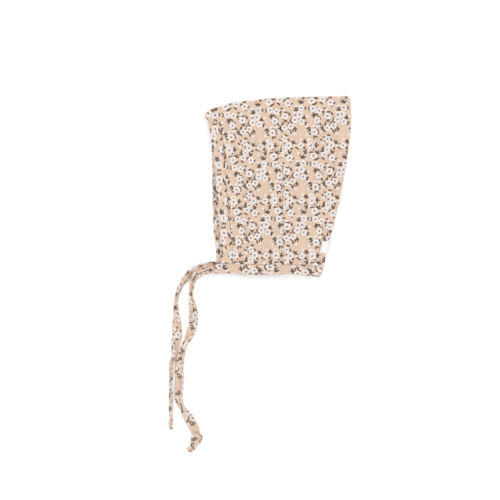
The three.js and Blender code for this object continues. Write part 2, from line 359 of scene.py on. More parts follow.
@dataclass(frozen=True)
class BonnetForm:
    """The bonnet's outline and the room between its two layers.

    Cloth and band are thicknesses, and a tuck is how far an edge goes in under a band's rim. A climb is the
    share of the way up to a band's top that the cloth rises beside it. The loft is the room in the middle,
    and an opening has the share of it that is named for it.
    """

    cloth: float = 1.2
    band: float = 2.4
    seam_gap: float = 0.3
    seam_tuck: float = 0.35
    band_tuck: float = 0.7
    climb_at_face: float = 0.45
    climb_at_neck: float = 0.2
    climb_reach: float = 3.0
    least_air: float = 2.0
    loft: float = 13.0
    rise_from_fold: float = 70.0
    rise_from_back: float = 62.0
    rise_from_opening: float = 50.0
    loft_at_face: float = 0.1
    loft_at_neck: float = 0.26
    corner: Corner = Corner()
    face_edge: SmoothTable = SmoothTable.through(FACE_SIDE, "y", "edge")
    face_seam: SmoothTable = SmoothTable.through(FACE_SIDE, "y", "seam")
    far_out: SmoothTable = SmoothTable.through(FACE_SIDE, "y", "far_out")
    back_edge: SmoothTable = SmoothTable.through(BACK_SIDE, "y", "x")
    fold_edge: SmoothTable = SmoothTable.through(TOP_FOLD, "x", "y")
    neck_seam: SmoothTable = SmoothTable.through(NECK_SIDE, "x", "seam")
    neck_edge: SmoothTable = SmoothTable.through(NECK_SIDE, "x", "edge")

    @property
    def fold_radius(self) -> float:
        """Half the height between the middles of the two layers where the cloth turns over."""
        return (self.cloth + self.least_air) / 2

    def crease_depth(self, x: np.ndarray, y: np.ndarray, creases: Sequence[CreaseRow]) -> np.ndarray:
        """Adds up creases: a bell across each, times e to minus the fourth power of the share along it."""
        depth = np.zeros_like(x)
        for crease in creases:
            along = (y - crease.y) / (crease.length / 2)
            depth += crease.depth * bell(x - crease.x, crease.width) * np.exp(-(along**4))
        return depth

    def air_between(self, x: np.ndarray, y: np.ndarray) -> np.ndarray:
        """Room between the layers: least at the fold and the back seam, most in the middle, less again
        towards the two openings and least of those at the corner where the ties leave."""
        inset = self.fold_radius + self.band / 2
        from_fold = rise(self.fold_edge(x) - inset - y, self.rise_from_fold)
        from_back = rise(self.back_edge(y) - inset - x, self.rise_from_back)
        face = mix(self.loft_at_face, 1, rise(x - self.face_edge(y), self.rise_from_opening))
        neck = mix(self.loft_at_neck, 1, rise(y - self.neck_edge(x), self.rise_from_opening))
        away = np.hypot(x - self.corner.x, y - self.corner.y)
        corner = mix(self.corner.loft, 1, rise(away, self.corner.reach))
        loft = self.loft - self.crease_depth(x, y, SOFT_CREASES)
        return self.least_air + from_fold * from_back * face * neck * corner * loft

    def near_height(self, x: np.ndarray, y: np.ndarray, thickness: float) -> np.ndarray:
        """Height of the middle of the near layer above the floor. Cloth thinner than the bands climbs
        some of the way to their tops beside the seams: e to minus the distance from each seam."""
        at_face = self.climb_at_face * np.exp(-np.maximum(x - self.face_seam(y), 0) / self.climb_reach)
        at_neck = self.climb_at_neck * np.exp(-np.maximum(y - self.neck_seam(x), 0) / self.climb_reach)
        climb = (self.band - thickness) * np.maximum(at_face, at_neck)
        return self.cloth + self.air_between(x, y) + thickness / 2 + climb


@dataclass(frozen=True)
class SoftWaves:
    """Random gentle waves: a few sines of chosen lengths and directions, each with a drawn phase."""

    seed: int
    count: int
    lengths: tuple[float, float]
    lean: float
    size: float

    def __call__(self, x: np.ndarray, y: np.ndarray) -> np.ndarray:
        """Adds up the sines at each place, scaled so that their usual size is the one asked for."""
        draw = np.random.default_rng(self.seed)
        total = np.zeros_like(x, dtype=float)
        for _ in range(self.count):
            length = draw.uniform(*self.lengths)
            angle = draw.normal(0, self.lean)
            phase = draw.uniform(0, FULL_TURN)
            along = x * np.cos(angle) + y * np.sin(angle)
            total += np.sin(FULL_TURN * along / length + phase)
        return total * self.size / np.sqrt(self.count)


@dataclass(frozen=True)
class NearRelief:
    """The fine relief of the near layer: creases, gathers at the seams and soft waves."""

    form: BonnetForm
    pleat: "Pleat"
    gather_depth: float = 0.26
    gather_reach: float = 9.0
    gather_length: float = 5.2
    gather_wander: float = 1.6
    neck_seed: int = 21
    face_seed: int = 22
    back_seed: int = 23
    face_share: float = 0.8
    back_calm: float = 3.0
    calm_edge: float = 8.0
    upright_waves: SoftWaves = SoftWaves(seed=11, count=9, lengths=(7, 19), lean=0.07, size=0.17)
    broad_waves: SoftWaves = SoftWaves(seed=12, count=7, lengths=(28, 60), lean=0.9, size=0.28)

    def gathers(self, along: np.ndarray, away: np.ndarray, seed: int) -> np.ndarray:
        """Short ripples that fade away from a seam: a wandering sine times e to minus the distance."""
        draw = np.random.default_rng(seed)
        waves = SoftWaves(seed=seed, count=4, lengths=(18, 40), lean=0.0, size=self.gather_wander)
        phase = waves(along, away) + draw.uniform(0, FULL_TURN)
        ripple = np.sin(FULL_TURN * along / self.gather_length + phase)
        return self.gather_depth * ripple * np.exp(-np.abs(away) / self.gather_reach)

    def height(self, x: np.ndarray, y: np.ndarray) -> np.ndarray:
        """What is added to the near layer's height. It fades to nothing at the fold and the back seam."""
        form = self.form
        to_fold = form.fold_edge(x) - form.fold_radius - y
        to_back = form.back_edge(y) - form.fold_radius - x
        from_face = x - form.face_seam(y)
        from_neck = y - form.neck_seam(x)
        calm = ease(to_fold / self.calm_edge) * ease(to_back / self.calm_edge)
        waves = self.upright_waves(x, y) + self.broad_waves(x, y)
        at_face = self.gathers(y, from_face, self.face_seed) * self.face_share
        gathers = self.gathers(x, from_neck, self.neck_seed) + at_face
        back_gathers = self.gathers(y, to_back, self.back_seed) * ease(to_back / self.back_calm)
        sharp = form.crease_depth(x, y, SHARP_CREASES) + self.pleat.depth_at(x, y)
        return calm * (waves + gathers - sharp) + ease(to_fold / self.calm_edge) * back_gathers


@dataclass(frozen=True)
class Pleat:
    """A flat crease up the near layer whose two sides meet, so that it hides a strip of the print. Foot
    and head are how far across its low and high ends are."""

    foot: float = 6.8
    head: float = 3.4
    low: float = -84.0
    high: float = 98.0
    hidden: float = 6.5
    hides_from: float = 86.0
    hides_fully: float = -50.0
    depth: float = 1.4
    shoulder: float = 1.5

    def line(self, y: np.ndarray) -> np.ndarray:
        """Where the crease is at a height: a straight line from its foot to its head."""
        return mix(self.foot, self.head, clamp01((y - self.low) / (self.high - self.low)))

    def hidden_at(self, y: np.ndarray) -> np.ndarray:
        """The width of cloth that it hides at a height."""
        return self.hidden * ease((self.hides_from - y) / (self.hides_from - self.hides_fully))

    def depth_at(self, x: np.ndarray, y: np.ndarray) -> np.ndarray:
        """How deep it lies: e to minus the distance by its shoulder, as deep as the cloth it hides."""
        away = np.abs(x - self.line(y))
        return self.depth * np.exp(-away / self.shoulder) * self.hidden_at(y) / self.hidden


def grid_quads(numbers: np.ndarray, turned: bool = False) -> np.ndarray:
    """The squares of a grid of point numbers, each with its corners in order."""
    corners = [numbers[:-1, :-1], numbers[:-1, 1:], numbers[1:, 1:], numbers[1:, :-1]]
    quads = np.stack(corners, axis=-1).reshape(-1, 4)
    return quads[:, ::-1] if turned else quads


def grid_corners(places: np.ndarray, turned: bool = False) -> np.ndarray:
    """The print's places at the corners of a grid's squares, in the same order as grid_quads."""
    corners = [places[:-1, :-1], places[:-1, 1:], places[1:, 1:], places[1:, :-1]]
    quads = np.stack(corners, axis=-2).reshape(-1, 4, 2)
    return quads[:, ::-1] if turned else quads


@dataclass
class ClothSurface:
    """The middle surface of a cloth, put together from grids, with the print's place at each corner."""

    points: list[np.ndarray] = field(default_factory=list)
    quads: list[np.ndarray] = field(default_factory=list)
    corners: list[np.ndarray] = field(default_factory=list)
    count: int = 0

    def add_points(self, grid: np.ndarray) -> np.ndarray:
        """Keeps a grid of points and returns the grid of their numbers."""
        shape = grid.shape[:2]
        numbers = self.count + np.arange(shape[0] * shape[1]).reshape(shape)
        self.points.append(grid.reshape(-1, 3))
        self.count += numbers.size
        return numbers

    def add_squares(self, numbers: np.ndarray, places: np.ndarray, turned: bool = False) -> None:
        """Keeps the squares of a grid, with the print's place at each of its points."""
        self.quads.append(grid_quads(numbers, turned))
        self.corners.append(grid_corners(places, turned))

    def turn_over(self, near_line: np.ndarray, far_line: np.ndarray, steps: int) -> np.ndarray:
        """Joins two lines of points by half circles that stand out from them, and returns the grid of
        numbers from the near line to the far one.

        Each half circle is centred between its two points, with half their height as its radius, and
        stands out at right angles to the near line as seen from above.
        """
        points = np.concatenate(self.points)
        near = points[near_line]
        far = points[far_line]
        along = np.concatenate([near[1:], near[-1:]]) - np.concatenate([near[:1], near[:-1]])
        outward = np.stack([-along[:, 1], along[:, 0], np.zeros(len(near))], axis=1)
        outward /= np.linalg.norm(outward, axis=1, keepdims=True)
        angle = np.pi * np.arange(1, steps)[:, None, None] / steps
        radius = (near[:, 2:] - far[:, 2:]) / 2
        rounds = (near + far) / 2 + radius * (np.sin(angle) * outward + np.cos(angle) * UP)
        return np.concatenate([near_line[None], self.add_points(rounds), far_line[None]])


@dataclass(frozen=True)
class Solid:
    """A closed mesh: points, squares, the print's place at each corner, and the side of each square."""

    points: np.ndarray
    quads: np.ndarray
    corners: np.ndarray
    sides: np.ndarray


def unit(vectors: np.ndarray) -> np.ndarray:
    """Vectors at a length of 1."""
    return vectors / np.maximum(np.linalg.norm(vectors, axis=-1, keepdims=True), TINY)


def point_normals(points: np.ndarray, quads: np.ndarray) -> np.ndarray:
    """The mean direction of the squares that meet at each point, larger squares counting for more."""
    faces = np.cross(points[quads[:, 2]] - points[quads[:, 0]], points[quads[:, 3]] - points[quads[:, 1]])
    normals = np.zeros_like(points)
    for corner in range(4):
        np.add.at(normals, quads[:, corner], faces)
    return unit(normals)


def free_edges(quads: np.ndarray, count: int) -> np.ndarray:
    """The directed edges that only one square has, as rows of two point numbers."""
    edges = np.stack([quads, np.roll(quads, -1, axis=1)], axis=-1).reshape(-1, 2)
    keys = edges[:, 0] * count + edges[:, 1]
    back_keys = edges[:, 1] * count + edges[:, 0]
    return edges[~np.isin(keys, back_keys)]


def rim_outward(points: np.ndarray, edges: np.ndarray, normals: np.ndarray) -> tuple[np.ndarray, np.ndarray]:
    """The points on free edges, and the way straight out of the cloth at each of them: the mean of its
    edges' directions crossed with the normal."""
    edge_out = np.cross(points[edges[:, 1]] - points[edges[:, 0]], normals[edges[:, 0]])
    outward = np.zeros_like(points)
    np.add.at(outward, edges[:, 0], edge_out)
    np.add.at(outward, edges[:, 1], edge_out)
    rim = np.unique(edges)
    return rim, unit(outward[rim])


def thicken(surface: ClothSurface, thickness: float, rim_steps: int = 4) -> Solid:
    """Gives a middle surface its thickness, with free edges rounded as a cloth's folded edge is.

    The two sides lie half a thickness from the middle along its normals. A free edge is rounded by half
    circles from one side to the other, in the plane of the normal and the outward direction.

    Args:
        surface: The middle surface. Its outline lies half a thickness inside the cloth's own outline.
        thickness: The cloth's thickness.
        rim_steps: Steps round a free edge.

    Returns:
        The closed solid.
    """
    points = np.concatenate(surface.points)
    quads = np.concatenate(surface.quads)
    corners = np.concatenate(surface.corners)
    normals = point_normals(points, quads)
    count = len(points)
    edges = free_edges(quads, count)
    rim, outward = rim_outward(points, edges, normals)
    angle = np.pi * np.arange(1, rim_steps)[:, None, None] / rim_steps
    rounds = np.cos(angle) * normals[rim] + np.sin(angle) * outward
    rim_points = points[rim] + thickness / 2 * rounds
    place_on_rim = np.full(count, -1)
    place_on_rim[rim] = np.arange(len(rim))
    rings = [np.arange(count)]
    for step in range(rim_steps - 1):
        rings.append(2 * count + step * len(rim) + place_on_rim)
    rings.append(count + np.arange(count))
    edge_places, edge_rates = places_at_edges(points, quads, corners, edges)
    arc = np.pi * thickness / 2 * np.linspace(0, 1, rim_steps + 1)
    rim_quads = []
    rim_corners = []
    start, end = edges.T
    for step, (near_ring, far_ring) in enumerate(zip(rings[:-1], rings[1:])):
        near_places, far_places = (edge_places + edge_rates * way for way in arc[step:step + 2])
        rim_quads.append(np.stack([near_ring[end], near_ring[start], far_ring[start], far_ring[end]], axis=1))
        rim_corners.append(np.concatenate([near_places[:, ::-1], far_places], axis=1))
    all_points = np.concatenate([points + thickness / 2 * normals, points - thickness / 2 * normals,
                                 rim_points.reshape(-1, 3)])
    all_quads = np.concatenate([quads, quads[:, ::-1] + count, *rim_quads])
    all_corners = np.concatenate([corners, corners[:, ::-1], *rim_corners])
    sides = np.full(len(all_quads), Face.OUTSIDE.value)
    sides[len(quads):2 * len(quads)] = Face.INSIDE.value
    return Solid(all_points, all_quads, all_corners, sides)


def places_at_edges(points: np.ndarray, quads: np.ndarray, corners: np.ndarray,
                    edges: np.ndarray) -> tuple[np.ndarray, np.ndarray]:
    """The print's places at the two ends of each free edge, and how fast they change past it.

    Both come from the square that has the edge. The change for each millimetre is taken from the inner
    corner to the outer one, on each side of the square.
    """
    keys = (quads * len(points) + np.roll(quads, -1, axis=1)).reshape(-1)
    order = np.argsort(keys)
    found = order[np.searchsorted(keys[order], edges[:, 0] * len(points) + edges[:, 1])]
    square, corner = found // 4, found % 4
    outer = [(square, corner), (square, (corner + 1) % 4)]
    inner = [(square, (corner + 3) % 4), (square, (corner + 2) % 4)]
    places = np.stack([corners[at] for at in outer], axis=1)
    change = places - np.stack([corners[at] for at in inner], axis=1)
    way = np.stack([points[quads[near]] - points[quads[far]] for near, far in zip(outer, inner)], axis=1)
    return places, change / np.maximum(np.linalg.norm(way, axis=-1, keepdims=True), TINY)


Line = Callable[[np.ndarray], np.ndarray]


@dataclass(frozen=True)
class EdgeLines:
    """Four edge lines of a grid on the floor plan: left and right by height, bottom and top by place."""

    left: Line
    right: Line
    bottom: Line
    top: Line
    passes: int = 12

    def between(self, across: np.ndarray, up: np.ndarray) -> tuple[np.ndarray, np.ndarray]:
        """Where a share of the way across meets a share of the way up, found by going back and forth."""
        x = np.zeros_like(across)
        y = np.zeros_like(up)
        for _ in range(self.passes):
            x = mix(self.left(y), self.right(y), across)
            y = mix(self.bottom(x), self.top(x), up)
        return x, y


def shares(columns: int, rows: int) -> tuple[np.ndarray, np.ndarray]:
    """Even shares across and up, as grids with a row for each share up."""
    across, up = np.meshgrid(np.linspace(0, 1, columns + 1), np.linspace(0, 1, rows + 1))
    return across, up


def new_object(name: str, solid: Solid, materials: Sequence[bpy.types.Material]) -> bpy.types.Object:
    """Makes a smooth mesh object in metres from a solid in millimetres, with its print map."""
    mesh = bpy.data.meshes.new(name)
    mesh.from_pydata((solid.points * METRES).tolist(), [], solid.quads.tolist())
    print_map = mesh.uv_layers.new(name=PRINT_MAP)
    print_map.data.foreach_set("uv", solid.corners.astype(np.float32).ravel())
    for material in materials:
        mesh.materials.append(material)
    sides = np.minimum(solid.sides, len(materials) - 1)
    mesh.polygons.foreach_set("material_index", sides.astype(np.int32))
    mesh.polygons.foreach_set("use_smooth", np.ones(len(solid.quads), bool))
    mesh.update()
    piece = bpy.data.objects.new(name, mesh)
    bpy.context.scene.collection.objects.link(piece)
    log.info("%s: %d squares", name, len(solid.quads))
    return piece


def joined(solids: Sequence[Solid]) -> Solid:
    """Several solids as one."""
    starts = np.cumsum([0] + [len(solid.points) for solid in solids[:-1]])
    return Solid(
        np.concatenate([solid.points for solid in solids]),
        np.concatenate([solid.quads + start for solid, start in zip(solids, starts)]),
        np.concatenate([solid.corners for solid in solids]),
        np.concatenate([solid.sides for solid in solids]),
    )


Places = Callable[[np.ndarray, np.ndarray], np.ndarray]


@dataclass(frozen=True)
class Strip:
    """A run of columns of a cloth in two layers, with its edge lines and the lay of its print."""

    near: EdgeLines
    far: EdgeLines
    columns: int
    places: Places


def side_by_side(grids: Sequence[np.ndarray]) -> np.ndarray:
    """Joins grids of points into one, where each shares a column with the next."""
    return np.concatenate([grids[0], *[grid[:, 1:] for grid in grids[1:]]], axis=1)


@dataclass(frozen=True)
class TwoLayerCloth:
    """A cloth whose near layer lies over its far one, and that turns over at the fold, the back or both."""

    form: BonnetForm
    relief: NearRelief
    strips: Sequence[Strip]
    rows: int
    thickness: float
    turn: Turn
    round_steps: int = 10
    straight_after: float = 12.0

    def build(self) -> Solid:
        """Makes both layers and the turn between them, and gives the cloth its thickness."""
        surface = ClothSurface()
        plans = [strip.near.between(*shares(strip.columns, self.rows)) for strip in self.strips]
        far_plans = [strip.far.between(*shares(strip.columns, self.rows)) for strip in self.strips]
        x, y = (side_by_side([plan[axis] for plan in plans]) for axis in range(2))
        far_x, far_y = (side_by_side([plan[axis] for plan in far_plans]) for axis in range(2))
        z = self.form.near_height(x, y, self.thickness) + self.relief.height(x, y)
        near = surface.add_points(np.stack([x, y, z], axis=-1))
        far = surface.add_points(np.stack([far_x, far_y, np.full_like(far_x, self.thickness / 2)], axis=-1))
        arc = np.pi * self.form.fold_radius * np.linspace(0, 1, self.round_steps + 1)[:, None]
        turned = surface.turn_over(self.turn_line(near), self.turn_line(far), self.round_steps)
        first = 0
        for strip, plan in zip(self.strips, plans):
            columns = slice(first, first + strip.columns + 1)
            surface.add_squares(near[:, columns], strip.places(*plan))
            surface.add_squares(far[:, columns], strip.places(*self.beyond_turn(*plan)), turned=True)
            if self.turn is not Turn.BACK:
                top_x, top_y = (line[-1:] for line in plan)
                surface.add_squares(turned[:, columns], strip.places(top_x + 0 * arc, top_y + arc))
            first += strip.columns
        if self.turn is not Turn.FOLD:
            self.add_back(surface, turned[:, turned.shape[1] - len(near):], plans[-1], arc)
        return thicken(surface, self.thickness)

    def turn_line(self, layer: np.ndarray) -> np.ndarray:
        """A layer's points where it turns over: along the top from the face, then down the back."""
        if self.turn is Turn.FOLD:
            return layer[-1]
        down_back = layer[::-1, -1]
        return down_back if self.turn is Turn.BACK else np.concatenate([layer[-1], down_back[1:]])

    def beyond_turn(self, x: np.ndarray, y: np.ndarray) -> tuple[np.ndarray, np.ndarray]:
        """Where on the spread-out cloth the far layer's places are: as far past the turn as the near
        layer's are before it. A band's print, which the slanting fold pulls aslant, runs straight again
        a little way past it: the slant is multiplied by e to minus the distance."""
        half_circle = np.pi * self.form.fold_radius
        if self.turn is Turn.BACK:
            return 2 * x[:, -1:] + half_circle - x, y
        top = y[-1:]
        if self.turn is Turn.FOLD:
            level = float(top.mean())
            top = level + (top - level) * np.exp(-(top - y) / self.straight_after)
        return x, 2 * top + half_circle - y

    def add_back(self, surface: ClothSurface, numbers: np.ndarray, plan: tuple[np.ndarray, np.ndarray],
                 arc: np.ndarray) -> None:
        """Adds the print round the back. At a seam each half of the turn carries its own layer's print on
        to the middle, and where the cloth just goes round, the print does too."""
        places = self.strips[-1].places
        edge_x, edge_y = (line[::-1, -1] for line in plan)
        if self.turn is Turn.BACK:
            surface.add_squares(numbers, places(edge_x + arc, edge_y + 0 * arc))
            return
        half = self.round_steps // 2
        far_y = self.beyond_turn(*plan)[1][::-1, -1]
        near_half, far_half = arc[:half + 1], arc[-1] - arc[half:]
        surface.add_squares(numbers[:half + 1], places(edge_x + near_half, edge_y + 0 * near_half))
        surface.add_squares(numbers[half:], places(edge_x + far_half, far_y + 0 * far_half))


@dataclass(frozen=True)
class CrownPrint:
    """How the print lies on the crown. The cloth's pull lets its columns drift to the right on the way
    down, its rows sink to the left of the first blossom, and its columns close up there. The places in
    the tables are heights."""

    first_x: float = 8.7
    first_y: float = 3.9
    drift_above: float = 0.026
    drift_below: float = 0.01
    share_on_right: float = 0.17
    close_up: SmoothTable = SmoothTable(
        places=(-50.0, -17.0, 3.0, 25.0, 42.0, 62.0, 82.0),
        values=(0.04, 0.047, 0.05, 0.051, 0.044, 0.012, -0.022),
    )
    sink: SmoothTable = SmoothTable(
        places=(-75.0, -57.0, -37.0, -28.0, -17.0, 3.0, 23.0, 42.0, 62.0, 82.0),
        values=(-0.002, 0.002, 0.008, 0.018, 0.034, 0.073, 0.082, 0.096, 0.1, 0.103),
    )
    lower_on_right: SmoothTable = SmoothTable(places=(-75.0, 3.0, 42.0, 82.0), values=(0.4, 0.5, 1.0, 0.6))

    def places(self, x: np.ndarray, y: np.ndarray, hidden: np.ndarray | float = 0.0) -> np.ndarray:
        """The print's place: distance right of and above the first blossom, less drift and hidden cloth."""
        down = self.first_y - y
        drift = np.where(down < 0, self.drift_above, self.drift_below) * down
        left = self.first_x - x
        on_left = left > 0
        sunk = self.sink(y) * left * np.where(on_left, 1, self.share_on_right)
        lower = np.where(on_left, 0, self.lower_on_right(y))
        closed = np.where(on_left, self.close_up(y), 0) * left
        return np.stack([-left - drift - hidden - closed, -down + sunk + lower], axis=-1)


@dataclass(frozen=True)
class BandPrint:
    """How the print lies on a band that is cut across the cloth and stretched along its length.

    The print's own right runs along the band in the direction given, and its own up runs across it.
    """

    at_x: float
    at_y: float
    print_right: float
    print_up: float
    right_runs: tuple[float, float]
    stretch: float
    stretch_before: float
    lean: float

    def places(self, x: np.ndarray, y: np.ndarray) -> np.ndarray:
        """Turns the way from a known place into the print's directions, and takes out the stretch."""
        run_x, run_y = self.right_runs
        way_x = x - self.at_x
        way_y = y - self.at_y
        along = way_x * run_x + way_y * run_y
        across = way_y * run_x - way_x * run_y - self.lean * along
        stretch = np.where(along < 0, self.stretch_before, self.stretch)
        return np.stack([self.print_right + along / stretch, self.print_up + across], axis=-1)


FACE_BAND_PRINT = BandPrint(
    at_x=-63.9, at_y=23.2, print_right=19.3, print_up=-38.6,
    right_runs=(0.0, -1.0), stretch=1.25, stretch_before=1.165, lean=0.087,
)
NECK_BAND_PRINT = BandPrint(
    at_x=-40, at_y=-89.8, print_right=11.9, print_up=-1.7,
    right_runs=(-1.0, 0.0), stretch=1.2, stretch_before=1.2, lean=-0.04,
)


class OvalRow(NamedTuple):
    """A motif of the printed repeat, in squares of its chart: the middle's distance right and down from
    the first blossom, the length and the width, and the degrees that its length is turned from the right."""

    right: float
    down: float
    length: float
    width: float
    turn: float


def charted(*rows: tuple[float, float, float, float, float]) -> list[OvalRow]:
    """Names the numbers of a chart's rows."""
    return [OvalRow(*row) for row in rows]


# The chart's square in millimetres, and the squares right and down after which the print repeats
CHART_SQUARE = 1.1
REPEAT_SQUARES = (42.4, 54.9)

BLOSSOM_CHART = charted(
    (0, 0.2, 5.6, 5.6, 10), (6.6, -1.7, 6, 6, 40), (29.5, 4.3, 7, 7, 0), (0, 11.4, 5.8, 5.6, 25),
    (3.8, 17.4, 6.8, 6.6, 50), (15.5, 17.6, 5.8, 5.8, 15),
    (25.5, 17.6, 7, 6.8, 30), (-0.8, 21.8, 5.8, 5.4, 5),
    (38.9, 26.6, 6.4, 5.6, 0), (4.3, 29.9, 6.6, 6.8, 20), (28.2, 28, 7, 6.4, 45), (17.4, 35.1, 6.4, 6, 8),
    (29.1, 36, 6.4, 6.2, 35), (35.2, 38.1, 6, 5.8, 12), (15.6, 41.7, 7, 6.4, -45), (0.9, 43.6, 6.6, 6.6, 28),
    (10.9, 46.9, 6.6, 6.6, 18), (32.9, 47.6, 6.8, 6, 42), (17, 49, 5.8, 6.4, 33), (25.4, 13.2, 5, 3.6, 5),
)

BUD_CHART = charted(
    (33.4, 53.3, 3.6, 3, 15), (9.5, 5.6, 3, 1.8, 0), (22.2, 6.8, 2.4, 2.2, 0), (22.3, -1.5, 3.2, 2, 10),
    (23, 22.9, 2.8, 1.8, 80), (13.4, 25.4, 2.4, 2, 0), (22.9, 43.5, 2.4, 1.8, 0), (37.7, 14.5, 2.8, 2.4, 30),
    (16.3, 11.7, 2.2, 1.8, 0), (28.8, -1.5, 2.6, 2, 0), (36.5, 3.8, 1.8, 1.6, 0), (10.6, 39.9, 3, 2, 0),
    (0.6, 37.6, 3, 1.6, 0), (4, 3.3, 2, 2.2, 0), (12.4, 33.1, 3.4, 2, 10), (20.1, 30.3, 1.8, 1.4, 60),
    (9.4, 17.7, 2, 1.4, 0), (24, 11.6, 2.4, 2, 0), (45.2, 25.2, 2.2, 1.8, 0),
)

